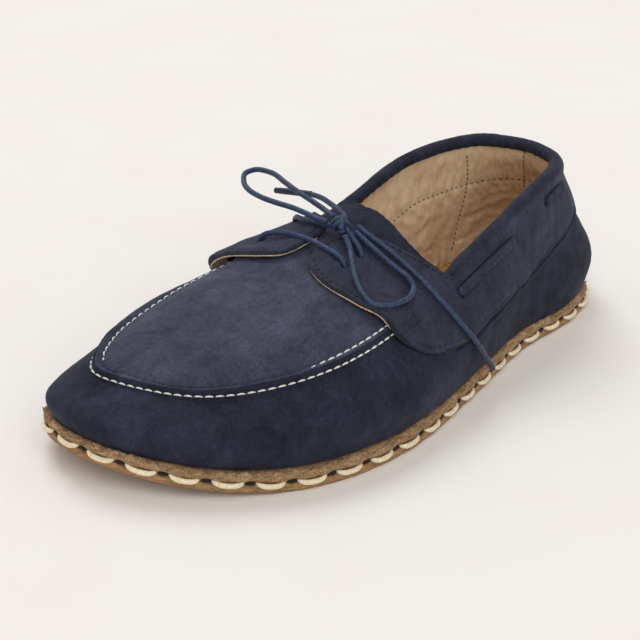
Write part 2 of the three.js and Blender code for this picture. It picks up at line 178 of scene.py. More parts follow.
def last(s, u):
    """Points on the last: s is the share round the ring (0 heel, 0.5 toe, lateral side
    first), u climbs the wall: 0 sole seam, 1 low wall, 2 rim, 3 crown, then down again."""
    s, u = np.broadcast_arrays(np.asarray(s, float), np.asarray(u, float))
    shape = s.shape
    far = u.ravel() > 3
    ring = np.where(far, 1 - s.ravel(), s.ravel()) % 1
    climb = np.clip(np.where(far, 6 - u.ravel(), u.ravel()), 0, 3)
    heel = bell(np.minimum(ring, 1 - ring), HEEL_REACH)
    foot, _ = sole_edge(ring, WELT_LEDGE - HEEL_LEDGE_CUT * heel)
    bulge, inset, rim = catmull(SHAPE, ring * len(EDGE)).T
    top = catmull(CROWN, ring * len(EDGE))
    inboard = top[:, :2] - foot
    reach = np.linalg.norm(inboard, axis=1)
    inboard /= reach[:, None]
    base = UPPER_BASE + toe_lift(foot[:, 1])
    # The wall bulges 0.4 of the way up in front, and lower behind the waist.
    low = 0.4 - 0.23 * ease(foot[:, 1], 50, 70)
    spread = FOOT_OUT * ease(foot[:, 1], -70, 0) * (1 - ease(foot[:, 1], 85, 120))
    knots = [np.stack(k, 1) for k in (
        (-spread, base), (-bulge, base + low * (rim - base)), (inset, rim), (reach, top[:, 2]))]
    chord = [np.linalg.norm(b - a, axis=1)[:, None] for a, b in zip(knots, knots[1:])]
    slope = [(b - a) / c for a, b, c in zip(knots, knots[1:], chord)]
    bend = [(slope[k - 1] * chord[k] + slope[k] * chord[k - 1]) / (chord[k] + chord[k - 1]) for k in (1, 2)]
    aim = [1.5 * slope[0] - 0.5 * bend[0]] + bend + [np.tile([1.0, 0.0], (len(reach), 1))]
    i = np.minimum(np.floor(climb), 2).astype(int)
    w = (climb - i)[:, None]

    def pick(rows):
        return np.select([i[:, None] == k for k in range(3)], rows)

    h = pick(chord)
    p = hermite(pick(knots[:3]), pick(knots[1:]), pick(aim[:3]) * h, pick(aim[1:]) * h, w)
    half_way, near_rim = (np.sin(math.pi * w[:, 0] ** power) ** 2 for power in (1, 3.5))
    lean = HEEL_LEAN[0] * half_way + HEEL_LEAN[1] * near_rim
    lean = lean * (ease(foot[:, 1], 35, 100) + HEEL_LEAN_MORE * heel) * (i == 1)
    xy = foot + inboard * (p[:, :1] + lean[:, None])
    return np.column_stack([xy, p[:, 1]]).reshape(shape + (3,))


def facing_out(s, u):
    """Outward normals of the last."""
    s, u = np.broadcast_arrays(np.asarray(s, float), np.asarray(u, float))
    rise = last(s, u + 4e-3) - last(s, np.maximum(u - 4e-3, 0))
    round_ = last(s + 1e-3, u) - last(s - 1e-3, u)
    out = np.cross(rise, round_)
    flat = np.linalg.norm(out, axis=-1) < 1e-3 * np.linalg.norm(rise, axis=-1)
    out[flat] = (0, 0, 1)
    return unit(out)


def above(s, u, height):
    """Points standing off the last by height along its normals."""
    return last(s, u) + facing_out(s, u) * np.asarray(height, float)[..., None]


def climb_scale(s, u):
    """Millimetres of wall for one unit of u."""
    return np.linalg.norm(last(s, u + 5e-3) - last(s, u - 5e-3), axis=-1) / 1e-2


def heel_climb(z):
    """u of a height on the heel's centre line."""
    u = np.linspace(0, 2, 200)
    return np.interp(z, last(0 * u, u)[:, 2], u)


def locate(points, side):
    """(s, u) of points (x, y, z) on one side (+1 lateral, -1 medial) of the last. One
    coordinate of each point is None and is left free."""
    s0, s1 = (0.0, 0.5) if side > 0 else (0.5, 1.0)
    s, u = np.meshgrid(np.linspace(s0, s1, 241), np.linspace(0, 3.2, 129), indexing="ij")
    grid = last(s, u)
    found = []
    for point in points:
        known = [k for k in range(3) if point[k] is not None]
        goal = np.array([point[k] for k in known], float)
        best = np.argmin(((grid[..., known] - goal) ** 2).sum(-1))
        at = np.array([s.ravel()[best], u.ravel()[best]])
        for _ in range(8):
            here = last(at[0], at[1])[known]
            jac = np.stack([(last(at[0] + 1e-4, at[1])[known] - here) / 1e-4,
                            (last(at[0], at[1] + 1e-4)[known] - here) / 1e-4], 1)
            step = np.linalg.lstsq(jac, goal - here, rcond=None)[0]
            at = at + np.clip(step, (-0.01, -0.2), (0.01, 0.2))
        found.append(at)
    return np.array(found)


RING_WEIGHT = 23.0                # the ring is about this many times as long as one step of u


def evened(knots, count):
    """A smooth (s, u) curve through knots, count rows evenly spaced."""
    fine = smooth(knots * (RING_WEIGHT, 1)) / (RING_WEIGHT, 1)
    run = arc(last(*fine.T))
    return at_length(fine, run, np.linspace(0, run[-1], count))


def outline(points, side, count):
    """A smooth (s, u) curve through points on one side of the last."""
    return evened(locate(points, side), count)


def shares(count, edge=(0.004, 0.010, 0.018)):
    """Shares from 0 to 1, closer together at both ends."""
    inner = np.linspace(edge[-1], 1 - edge[-1], count)[1:-1]
    ends = np.array((0,) + edge)
    return np.concatenate([ends, inner, 1 - ends[::-1]])


def coons(front, back, bottom, top, rows, cols):
    """(s, u) grid that fills four edge curves; rows run up and cols run back."""
    def resample(curve, where):
        run = arc(last(*curve.T))
        return at_length(curve, run / run[-1], where)

    f, k = resample(front, rows)[:, None], resample(back, rows)[:, None]
    b, t = resample(bottom, cols)[None], resample(top, cols)[None]
    a, c = cols[None, :, None], rows[:, None, None]
    corners = ((1 - a) * (1 - c) * f[0, 0] + a * (1 - c) * k[0, 0]
               + (1 - a) * c * f[-1, 0] + a * c * k[-1, 0])
    return (1 - a) * f + a * k + (1 - c) * b + c * t - corners


# ------------------------------------------------------------------ meshes
def add_mesh(name, points, faces, material, slot, replaces=()):
    mesh = bpy.data.meshes.new(name)
    mesh.from_pydata((np.asarray(points, float) * MM).tolist(), [], faces)
    shell = bmesh.new()
    shell.from_mesh(mesh)
    bmesh.ops.remove_doubles(shell, verts=shell.verts, dist=2e-6)
    bmesh.ops.recalc_face_normals(shell, faces=shell.faces)
    shell.to_mesh(mesh)
    shell.free()
    mesh.shade_smooth()
    piece = bpy.data.objects.new(name, mesh)
    bpy.context.scene.collection.objects.link(piece)
    mesh.materials.append(material)
    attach(piece, "root")
    if replaces:
        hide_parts(*replaces)
    return piece


def quads(rows, cols, start=0, wrap=False):
    """Faces of a grid of points stored row by row; wrap closes each row into a ring."""
    row = np.arange(rows - 1)[:, None] * cols
    c = np.arange(cols if wrap else cols - 1)[None]
    after = (c + 1) % cols
    ids = np.stack(np.broadcast_arrays(row + c, row + after, row + cols + after, row + cols + c), -1)
    return (ids.reshape(-1, 4) + start).tolist()


def slab(name, outer, inner, material, slot, replaces=(), wrap=False):
    """A sheet with thickness between two grids of points (rows, cols, 3)."""
    rows, cols = outer.shape[:2]
    points = np.concatenate([outer.reshape(-1, 3), inner.reshape(-1, 3)])
    n = rows * cols
    faces = quads(rows, cols, 0, wrap) + [f[::-1] for f in quads(rows, cols, n, wrap)]
    line = list(range(cols)) + [0] * wrap
    sides = [line[::-1], [n - cols + c for c in line]]
    if not wrap:
        first = list(range(0, n, cols))
        sides = [first, [i + cols - 1 for i in first[::-1]]] + sides
    for line in sides:
        faces += [[a, b, b + n, a + n] for a, b in zip(line, line[1:])]
    return add_mesh(name, points, faces, material, slot, replaces)


def sweep(path, normals, wide, tall, sides):
    """Points and faces of a closed tube along a polyline. Its half sizes, wide and tall,
    are one number, one for each point, or one for each point and side."""
    path = np.asarray(path, float)
    along = unit(np.gradient(path, axis=0))
    across = unit(np.cross(along, normals))
    up = np.cross(across, along)
    turn = turns(sides)
    wide, tall = (size if np.ndim(size) == 2 else np.reshape(size, (-1, 1)) for size in (wide, tall))
    ring = (path[:, None] + across[:, None] * (wide * np.cos(turn))[..., None]
            + up[:, None] * (tall * np.sin(turn))[..., None])
    faces = quads(len(path), sides, wrap=True)
    faces += [list(range(sides))[::-1], [(len(path) - 1) * sides + k for k in range(sides)]]
    return ring.reshape(-1, 3), faces


def steady_normals(path):
    """Normals that turn as little as they can along a polyline."""
    along = unit(np.gradient(np.asarray(path, float), axis=0))
    up = np.array([0.0, 0.0, 1.0]) if abs(along[0][2]) < 0.9 else np.array([1.0, 0.0, 0.0])
    normals = []
    for direction in along:
        up = up - direction * up.dot(direction)
        up /= np.linalg.norm(up)
        normals.append(up)
    return np.array(normals)


def joined(parts):
    """Several (points, faces) pairs as one."""
    points, faces, start = [], [], 0
    for p, f in parts:
        points.append(p)
        faces += [[i + start for i in face] for face in f]
        start += len(p)
    return np.concatenate(points), faces


def stitch_row(path, normals, length, pitch, half_width, half_height, sink, lift=0.0):
    """Separate stitches along a line: each arches over the leather and dives at its ends."""
    run = arc(path)
    count = int(run[-1] // pitch)
    first = (run[-1] - (count - 1) * pitch) / 2
    shape = np.linspace(-1, 1, 7)
    full = np.sqrt(1 - 0.9 * shape**2)
    parts = []
    for k in range(count):
        where = first + k * pitch + shape * length / 2
        p, n = at_length(path, run, where), unit(at_length(normals, run, where))
        p = p + n * (lift + half_height - sink * shape**2)[:, None]
        parts.append(sweep(p, n, half_width * full, half_height * full, 8))
    return joined(parts)


def dark_row(name, path, normals, half_width=0.3, half_height=0.24):
    """A piece of its own for a plain row of dark stitches."""
    row = stitch_row(path, normals, 2.0, 3.0, half_width, half_height, 0.5)
    add_mesh(name, *row, DARK_THREAD_AND_SHADE, "nubuck")


def waves(points, size, seed, octaves=3):
    """Soft seeded bumps, about -1 to 1, of a given size in millimetres."""
    rng = np.random.default_rng(seed)
    total = np.zeros(points.shape[:-1])
    for octave in range(octaves):
        for _ in range(5):
            way = rng.normal(size=3)
            way *= 2 * math.pi / (size / 1.9**octave) / np.linalg.norm(way)
            total += np.sin(points @ way + rng.uniform(0, 6.28)) / (5 * 1.6**octave) * 1.5
    return total


def folds(points, table):
    """Height of the listed creases: from, to, half width and height of each, in mm."""
    total = np.zeros(points.shape[:-1])
    for start, end, width, height in table:
        a, b = np.array(start, float), np.array(end, float)
        share = np.clip((points - a) @ (b - a) / ((b - a) @ (b - a)), 0, 1)
        off = np.linalg.norm(points - (a + share[..., None] * (b - a)), axis=-1)
        total += height * bell(off, width) * np.sin(math.pi * np.clip(share, 0.04, 0.96)) ** 0.5
    return total


# ------------------------------------------------------------------ materials
def linear(code):
    """Linear RGBA of an sRGB colour such as '#2e3142'."""
    parts = [int(code[i:i + 2], 16) / 255 for i in (1, 3, 5)]
    return [p / 12.92 if p <= 0.04045 else ((p + 0.055) / 1.055) ** 2.4 for p in parts] + [1.0]


class Finish:
    """One procedural material and its nodes, in the object's own metres."""

    def __init__(self, name, **sockets):
        self.material = bpy.data.materials.new(name)
        self.material.use_nodes = True
        self.tree = self.material.node_tree
        self.shader = self.tree.nodes["Principled BSDF"]
        for socket, value in sockets.items():
            self.shader.inputs[socket.replace("_", " ")].default_value = value
        self.place = self.node("ShaderNodeTexCoord").outputs["Object"]

    def node(self, kind, inputs=(), **settings):
        node = self.tree.nodes.new(kind)
        for key, value in settings.items():
            setattr(node, key, value)
        for socket, value in dict(inputs).items():
            if isinstance(value, bpy.types.NodeSocket):
                self.tree.links.new(value, node.inputs[socket])
            else:
                node.inputs[socket].default_value = value
        return node

    def stretched(self, scale):
        return self.node("ShaderNodeMapping", {"Vector": self.place, "Scale": scale}).outputs["Vector"]

    def noise(self, size_mm, detail=3.0, rough=0.55, warp=0.0, scale=None):
        where = self.stretched(scale) if scale else self.place
        made = self.node("ShaderNodeTexNoise", {
            "Vector": where, "Scale": 1000.0 / size_mm, "Detail": detail, "Roughness": rough,
            "Distortion": warp})
        return made.outputs["Fac"]

    def cells(self, size_mm):
        inputs = {"Vector": self.place, "Scale": 1000.0 / size_mm}
        return self.node("ShaderNodeTexVoronoi", inputs, feature="F1").outputs["Distance"]

    def ramp(self, fac, stops):
        made = self.node("ShaderNodeValToRGB", {"Fac": fac})
        elements = made.color_ramp.elements
        while len(elements) < len(stops):
            elements.new(0.5)
        for element, (place, colour) in zip(elements, stops):
            element.position = place
            element.color = linear(colour) if isinstance(colour, str) else (colour, colour, colour, 1)
        return made.outputs["Color"]

    def mix(self, fac, a, b, blend="MIX"):
        # A Mix node's sockets have the same names for every data type, so they go by number.
        made = self.node("ShaderNodeMix", {0: fac, 6: a, 7: b}, data_type="RGBA", blend_type=blend)
        return made.outputs[2]

    def bump(self, height, depth_mm, strength=1.0, under=None):
        inputs = {"Height": height, "Distance": depth_mm * MM, "Strength": strength}
        if under is not None:
            inputs["Normal"] = under
        return self.node("ShaderNodeBump", inputs).outputs["Normal"]

    def wire(self, **outputs):
        for socket, value in outputs.items():
            self.tree.links.new(value, self.shader.inputs[socket.replace("_", " ")])
        return self.material


def nubuck(name, dark, mid, light, sheen):
    """Brushed navy leather: cloudy where the nap turns, with a fine short fuzz."""
    f = Finish(name, Sheen_Weight=sheen, Sheen_Roughness=0.45, Specular_IOR_Level=0.2)
    f.shader.inputs["Sheen Tint"].default_value = linear("#aab4d2")
    cloud = f.noise(34, 4, 0.62, 0.6)
    smear = f.noise(9, 3, 0.6, 0.8)
    nap = f.noise(0.8, 5, 0.75)
    brushed = f.noise(2.4, 4, 0.7, 0.5, scale=(1.0, 1.0, 0.4))
    base = f.ramp(cloud, [(0.30, dark), (0.52, mid), (0.74, light)])
    base = f.mix(0.35, base, f.ramp(smear, [(0.32, dark), (0.70, light)]))
    base = f.mix(0.5, base, f.ramp(brushed, [(0.33, 0.28), (0.68, 0.76)]), "SOFT_LIGHT")
    base = f.mix(0.8, base, f.ramp(nap, [(0.30, 0.24), (0.72, 0.84)]), "SOFT_LIGHT")
    grain = f.bump(nap, 0.16, 0.55)
    return f.wire(Base_Color=base, Roughness=f.ramp(smear, [(0.3, 0.86), (0.7, 0.72)]),
                  Normal=f.bump(f.noise(2.6, 3, 0.6), 0.22, 0.35, grain))


def smooth_leather(name, dark, mid, light, rough, wrinkle):
    """Tanned leather with fine pores and wrinkles, stained unevenly by wear, with painted shade in its
    wrinkles.
    """
    f = Finish(name, Specular_IOR_Level=0.4)
    stain = f.noise(26, 4, 0.6, 0.5)
    pores = f.cells(0.9)
    base = f.ramp(stain, [(0.28, dark), (0.52, mid), (0.76, light)])
    base = f.mix(0.35, base, f.ramp(f.noise(3.5, 3, 0.65), [(0.3, dark), (0.7, light)]))
    normal = f.bump(pores, 0.10, 0.35)
    wrinkle_relief_and_shade = f.noise(7, 4, 0.6, 1.6, scale=(1.0, 1.0, 0.45))
    lines = f.ramp(f.noise(9, 3, 0.55, 1.2, scale=(1.0, 1.0, 0.5)),
                   [(0.40, 1.0), (0.485, 0.35), (0.50, 0.3), (0.57, 1.0)])
    normal = f.bump(lines, wrinkle * 0.5, 0.5, f.bump(wrinkle_relief_and_shade, wrinkle * 1.4, 0.7, normal))
    # Painted shade and light: the wrinkle streaks are darker where their bump is low and lighter where it is
    # high.
    base = f.mix(0.25, base, f.ramp(wrinkle_relief_and_shade, [(0.36, dark), (0.6, light)]))
    # Painted shade along the wrinkle lines.
    base = f.mix(0.07, base, lines, "MULTIPLY")
    shine = f.ramp(stain, [(0.3, rough[0]), (0.7, rough[1])])
    return f.wire(Base_Color=base, Roughness=shine, Normal=normal)


def cut_edge(name, dark, mid, light, fuzz=0.35):
    """The cut side of thick leather: fibres in thin layers, rough and matt."""
    f = Finish(name, Roughness=0.88, Specular_IOR_Level=0.25)
    layers = f.noise(1.6, 4, 0.7, 0.4, scale=(0.35, 0.35, 2.4))
    blotch = f.noise(7, 4, 0.65, 0.6)
    specks = f.noise(0.7, 3, 0.7)
    base = f.ramp(layers, [(0.28, dark), (0.5, mid), (0.74, light)])
    base = f.mix(0.45, base, f.ramp(blotch, [(0.3, dark), (0.55, mid), (0.8, light)]))
    base = f.mix(0.7, base, f.ramp(specks, [(0.32, 0.22), (0.68, 0.8)]), "OVERLAY")
    return f.wire(Base_Color=base, Normal=f.bump(specks, 0.35, fuzz, f.bump(layers, 0.5, fuzz)))


def waxed(name, dark, light, rough):
    """Waxed thread or cord, with worn paler flecks."""
    f = Finish(name, Specular_IOR_Level=0.4, Sheen_Weight=0.05)
    fleck = f.noise(1.3, 4, 0.65, 0.4)
    fibre = f.noise(0.35, 2, 0.6)
    base = f.ramp(fleck, [(0.3, dark), (0.72, light)])
    return f.wire(Base_Color=base, Normal=f.bump(fibre, 0.09, 0.5),
                  Roughness=f.ramp(fleck, [(0.3, rough + 0.16), (0.7, rough)]))


def plain_floor():
    """Pale matt paper."""
    f = Finish("floor", Roughness=0.9, Specular_IOR_Level=0.15)
    base = f.ramp(f.noise(60, 3, 0.5), [(0.3, "#f2ece6"), (0.7, "#f3efe9")])
    return f.wire(Base_Color=base)


# Two copies of one navy nubuck. The walls, tongue and seam beads get a darker base, which is painted shade on
# the sides. The plug gets a lighter base, partly its own lighter tone and partly painted light where it faces
# up.
NUBUCK = nubuck("nubuck_wall_painted_shade", "#141621", "#1c1e2c", "#2e3145", 0.08)
NUBUCK_PLUG = nubuck("nubuck_plug_tone_and_painted_light", "#262733", "#343544", "#4a4c5f", 0.22)
NUBUCK_BAND = nubuck("nubuck_band", "#1e202c", "#292b3a", "#3c3f52", 0.14)
NUBUCK_ROLL = nubuck("nubuck_roll", "#1a1c27", "#242633", "#35384a", 0.12)
LINING = smooth_leather("lining_leather", "#c9a782", "#e6c8a2", "#f0d6b3", (0.62, 0.5), 0.45)
LINING_EDGE = cut_edge("lining_edge", "#a8917a", "#cfb99d", "#e8d8c0")
INSOLE = smooth_leather("insole_leather", "#95682f", "#b38442", "#c89a58", (0.55, 0.42), 0.15)
OUTSOLE = cut_edge("outsole_edge", "#765736", "#9c7953", "#c9a276", 0.5)
MIDSOLE = cut_edge("midsole_edge", "#765839", "#a38360", "#d0b189", 0.8)
SOLE_THREAD = waxed("sole_thread", "#d6c197", "#faefd2", 0.5)
WHITE_THREAD = waxed("white_thread", "#cdcbc4", "#f8f6f0", 0.6)
# Dark thread for the stitches. The same material paints shade in the band edge cords and the strap slits.
DARK_THREAD_AND_SHADE = waxed("dark_thread_and_shade", "#0a0b11", "#1c1f2b", 0.6)
# Near-black for the painted shade in the sole's stitch holes.
HOLE_SHADE = waxed("stitch_hole_shade", "#0c0906", "#1b140e", 0.7)
TAN_THREAD = waxed("lining_thread", "#4a3722", "#6b5335", 0.6)
LACE = waxed("lace_wax", "#162036", "#34486c", 0.42)
AGLET = waxed("aglet_sleeve", "#0f1728", "#22314d", 0.34)
NUBUCK_STRAP = nubuck("nubuck_strap", "#1b1d2a", "#282b3b", "#3b4054", 0.14)


# ------------------------------------------------------------------ camera and light
CAMERA_AT = (392.66, -443.77, 295.39)
CAMERA_HEADING = (-0.6826, 0.7308)
CAMERA_DOWN = 24.90
CAMERA_ROLL = 1.66
LENS = 91.6875                    # for a sensor 36 mm wide


def look():
    data = bpy.data.cameras.new("camera")
    data.sensor_width = 36.0
    data.lens = LENS
    data.clip_start, data.clip_end = 0.01, 30.0
    camera = bpy.data.objects.new("camera", data)
    bpy.context.scene.collection.objects.link(camera)
    level = Vector(CAMERA_HEADING + (0,)).normalized()
    down = math.radians(CAMERA_DOWN)
    aim = level * math.cos(down) - Vector((0, 0, math.sin(down)))
    turn = aim.to_track_quat("-Z", "Y").to_matrix().to_4x4()
    place = Matrix.Translation(Vector(CAMERA_AT) * MM)
    camera.matrix_world = place @ turn @ Matrix.Rotation(math.radians(CAMERA_ROLL), 4, "Z")
    bpy.context.scene.camera = camera


SKY = 0.50                        # brightness of the light from all round
SKY_COLOUR = (1.0, 0.935, 0.865, 1)
# Each lamp: where it comes from, spread in degrees, and strength in watts per square metre.
LAMPS = {"key": ((-0.6, 0.2, 1.0), 32.0, 1.08), "fill": ((0.85, -0.6, 0.95), 60.0, 1.25)}
LAMP_COLOUR = (0.93, 0.99, 1.07)
FLOOR_REACH = 12.0                # metres


def soft_sun(name, come_from, spread_deg, power):
    data = bpy.data.lights.new(name, "SUN")
    data.angle, data.energy, data.color = math.radians(spread_deg), power, LAMP_COLOUR
    lamp = bpy.data.objects.new(name, data)
    lamp.rotation_euler = (-Vector(come_from)).to_track_quat("-Z", "Y").to_euler()
    bpy.context.scene.collection.objects.link(lamp)


def studio():
    world = bpy.data.worlds.new("studio")
    world.use_nodes = True
    sky = world.node_tree.nodes["Background"].inputs
    sky["Color"].default_value, sky["Strength"].default_value = SKY_COLOUR, SKY
    bpy.context.scene.world = world
    bpy.context.scene.view_settings.view_transform = "Standard"
    for name, lamp in LAMPS.items():
        soft_sun(name, *lamp)
    mesh = bpy.data.meshes.new("floor")
    reach = FLOOR_REACH
    corners = [(-reach, -reach, 0), (reach, -reach, 0), (reach, reach, 0), (-reach, reach, 0)]
    mesh.from_pydata(corners, [], [(0, 1, 2, 3)])
    mesh.materials.append(plain_floor())
    floor = bpy.data.objects.new("floor", mesh)
    bpy.context.scene.collection.objects.link(floor)


# ------------------------------------------------------------------ lace
CORDS = {
    "lace_loop_medial": [
        (-2.2, -14.9, 68.4), (-9.3, -13.4, 69.4), (-16.5, -13.2, 71), (-24.2, -12.3, 72), (-32.7, -10.6, 73),
        (-43.3, -8.5, 74), (-49.6, -10.4, 74), (-50.2, -15.4, 73.7), (-46.6, -20.2, 73), (-38.7, -25, 72),
        (-31.7, -25.2, 71), (-25.3, -23.3, 70), (-19.3, -20.6, 69), (-12.6, -19.2, 68), (-7, -18.9, 67.4),
        (-2.2, -18.4, 67.4)],
    "lace_loop_lateral": [
        (7.4, -19.2, 65), (10.9, -20.6, 62.9), (17.6, -25.7, 59.3), (25, -31.4, 56), (31.7, -34.6, 53),
        (36.8, -34.9, 51), (39.4, -31.4, 50), (40.7, -24.4, 49.6), (39.6, -16.6, 50), (37.2, -12.8, 51.4),
        (34, -11.8, 53.5), (29.8, -13, 56), (23.8, -14.1, 58.9), (16.6, -14, 61.8), (11.6, -13.7, 63.6),
        (8, -13.8, 65.4)],
    "lace_end_short": [
        (2.0, -12.9, 67.9), (0.4, -11.8, 68.6), (-4, -9.6, 68.8), (-12.4, -6, 68.7), (-21.6, -2.8, 68.2),
        (-26.9, -2, 67.6)],
    "lace_end_long": [
        (6.8, -11.4, 66.6), (11, -10.6, 64.4), (17.4, -10, 62), (23.1, -9.2, 59.6), (30.1, -7.9, 55.8),
        (37.5, -6.1, 50.8), (43.1, -4.3, 45.8), (48.2, -1.8, 40.3), (52, 1.8, 34.2), (53.4, 5.6, 29.4),
        (53.1, 8.4, 26)],
}
# The crossings start and end under the facings, inside their eyelets.
BARS = {
    "lace_bar_front": [
        (-29.6, -28.6, 52.2), (-28.6, -28.3, 55.6), (-26.6, -27.6, 57.6), (-22, -26.4, 59.3),
        (-17, -26, 60.6), (-10.2, -26.3, 61.5), (-2.4, -26.3, 61.6), (5, -26.4, 60.9),
        (10.5, -26.3, 59.9), (14.2, -26.5, 58.2), (15.6, -26.6, 55.2)],
    "lace_bar_medial": [
        (-29.2, -8.4, 55.5), (-28.6, -8.9, 58.4), (-26, -10.7, 60.4), (-21.2, -14.2, 62.3),
        (-17.4, -15.6, 63.2), (-11.2, -16.3, 64.2), (-6, -16.4, 64.8), (-2.4, -16.3, 65.2),
        (0.4, -16.2, 65.9)],
    "lace_bar_lateral": [
        (15.4, -17.9, 57.2), (14.4, -17.7, 60.2), (12.2, -17.1, 62), (10.4, -16.7, 62.9), (8.4, -16.4, 64),
        (5.6, -16.2, 65.6)],
}
AGLETS = {
    "lace_aglet_short": [(-26.2, -2.0, 67.7), (-32.5, -2.9, 66.9), (-39.0, -3.9, 66.0), (-44.6, -4.7, 65.1)],
    "lace_aglet_long": [(53.1, 7.9, 26.6), (53.0, 12.0, 21.4), (52.9, 16.2, 16.1), (52.8, 20.1, 11.4)],
}
AGLET_RADIUS = 1.32
KNOT_AT = (2.8, -16.0, 66.8)
ROPE_STEP = 0.55
ROPE_SIDES = 15
PLIES = 3
PLY_PITCH = 3.4                   # one turn of the plies
PLY_DEPTH = 0.07                  # share of the radius that they swell and sink by


def rope(path, radius):
    """A laid cord whose plies twist round the line, and the line itself."""
    run = arc(path)
    where = np.linspace(0, run[-1], max(8, int(run[-1] / ROPE_STEP)))
    line = at_length(path, run, where)
    ply = np.cos(PLIES * (turns(ROPE_SIDES)[None] - 2 * math.pi * where[:, None] / PLY_PITCH))
    size = radius * (1 - PLY_DEPTH + PLY_DEPTH * ply)
    ends = np.minimum(where, where[-1] - where)
    size = size * np.sqrt(np.clip(ends / 0.5, 0.25, 1))[:, None]
    points, faces = sweep(line, steady_normals(line), size, size, ROPE_SIDES)
    return points, faces, line


def aglet(name, points):
    """The hard tip of a lace end."""
    path = smooth(points)
    run = arc(path)
    share = np.linspace(0, 1, 34)
    line = at_length(path, run, share * run[-1])
    size = AGLET_RADIUS - 0.12 * ease(share, 0.7, 1) + 0.03 * np.sin(share * 40)
    size[0] = size[-1] = 0.7
    tube = sweep(line, steady_normals(line), size, size, 16)
    return add_mesh(name + "_sleeve", *tube, AGLET, "aglet", [name])


def lace():
    knot = lace_knot()
    aglets = {name: aglet(name, points) for name, points in AGLETS.items()}
    # Each free stretch: what its far end is, how stiff it is, and the pieces on it.
    facts = {
        "lace_loop_medial": ("knot", "stiff", [knot]),
        "lace_loop_lateral": ("knot", "medium", []),
        "lace_end_short": ("fitting", "stiff", [aglets["lace_aglet_short"]]),
        "lace_end_long": ("fitting", "medium", [aglets["lace_aglet_long"]]),
    }
    for name, (far_end, stiffness, pieces) in facts.items():
        path = smooth(CORDS[name])
        points, faces, line = rope(path, LACE_RADIUS)
        cord = add_mesh(name + "_cord", points, faces, LACE, "lace_cord", [name])
    for name, points in BARS.items():
        points, faces, _ = rope(smooth(points), LACE_RADIUS)
        add_mesh(name + "_cord", points, faces, LACE, "lace_cord", [name])


def lace_knot():
    """The bow's knot: a coil of lace round two strands, and one turn across it."""
    centre = np.array(KNOT_AT)
    axis = unit(np.array([0.86, -0.36, -0.28]))
    side = unit(np.cross(axis, (0, 0, 1)))
    top = np.cross(side, axis)
    turn = np.linspace(-0.4, 4 * math.pi - 0.6, 80)
    coil = (centre + np.outer(np.cos(turn) * 2.35, side) + np.outer(np.sin(turn) * 2.1, top)
            + np.outer((turn / (4 * math.pi) - 0.5) * 4.6, axis))
    parts = [rope(coil, LACE_RADIUS)[:2]]
    ends = np.linspace(-1, 1, 30)[:, None]
    for shift, lean in ((0.7, 0.5), (-0.8, -0.4)):
        strand = centre + axis * ends * 4.6 + side * (shift + lean * ends) + top * (0.3 - 0.7 * ends**2)
        parts.append(rope(strand, LACE_RADIUS * 0.95)[:2])
    slant = np.linspace(0.2, math.pi + 0.3, 40)
    cross = centre + np.outer(np.cos(slant) * 3.5, axis + 0.55 * side) + np.outer(np.sin(slant) * 2.9, top)
    parts.append(rope(cross, LACE_RADIUS * 0.95)[:2])
    return add_mesh("lace_knot_wraps", *joined(parts), LACE, "lace_cord", ["lace_knot"])


# ------------------------------------------------------------------ sole
def ring_shares(count):
    """Ring shares evenly spaced along the sole's edge, and its length."""
    fine = np.linspace(0, 1, 2881)
    run = arc(sole_edge(fine)[0])
    return np.interp(np.linspace(0, run[-1], count, endpoint=False), run, fine), run[-1]


SOLE_SHARES, SOLE_ROUND = ring_shares(1150)
SOLE_STITCHES = int(round(SOLE_ROUND / SOLE_PITCH))
# Profiles of the sole's plates: (inset, height) round the cut side, from 12 mm inboard on
# the bottom to 12 mm inboard on the top, where flat faces close the plate.
OUTSOLE_PROFILE = [
    (12, 0), (1.1, 0), (0.35, 0.3), (0.1, 0.9), (0.0, 1.7), (0.08, 2.4), (0.3, 3.0), (0.8, 3.45),
    (1.8, 3.7), (12, OUTSOLE_TOP)]
MIDSOLE_PROFILE = [
    (12, OUTSOLE_TOP + 0.05), (1.8, 3.8), (0.75, 4.0), (0.3, 4.5), (0.12, 5.1), (0.08, 5.8), (0.15, 6.5),
    (0.4, 7.1), (0.95, 7.45), (1.7, 7.6), (2.6, 7.55), (4.5, MIDSOLE_TOP), (12, MIDSOLE_TOP)]


def sole_layer(name, profile, ragged, material, slot, node, seed):
    """A plate of the sole: its cut side is ragged, and pinched between the stitches."""
    run = np.linspace(0, SOLE_STITCHES, len(SOLE_SHARES), endpoint=False)
    gap_off = np.abs((run + 0.5) % 1 - 0.5) * SOLE_ROUND / SOLE_STITCHES
    rings = []
    for inset, height in profile:
        side = bell(inset, 2.5)
        pinch = 1.9 * bell(gap_off, 2.1) * bell(height - OUTSOLE_TOP, 1.2) * side
        flat, _ = sole_edge(SOLE_SHARES, inset)
        rough = waves(np.column_stack([flat, np.full(len(flat), height * 2.0)]), 9, seed, 4)
        fine = waves(np.column_stack([flat, np.full(len(flat), height * 3.0)]), 2.2, seed + 1, 2)
        shift = side * ragged * (0.55 * rough + 0.45 * fine)
        flat, _ = sole_edge(SOLE_SHARES, inset + pinch - 0.5 * shift)
        z = height + toe_lift(flat[:, 1]) + 1.5 * shift * ease(height, OUTSOLE_TOP, MIDSOLE_TOP)
        rings.append(np.column_stack([flat, z]))
    rings = np.array(rings)
    rows, cols = rings.shape[:2]
    faces = quads(rows, cols, wrap=True)
    for row, flip in ((0, False), (rows - 1, True)):
        for k in range(cols // 2):
            ring = [row * cols + i for i in (k, k + 1, (cols - k - 1) % cols, (cols - k) % cols)]
            face = list(dict.fromkeys(ring))
            if len(face) > 2:
                faces.append(face[::-1] if flip else face)
    return add_mesh(name, rings.reshape(-1, 3), faces, material, slot, [node])


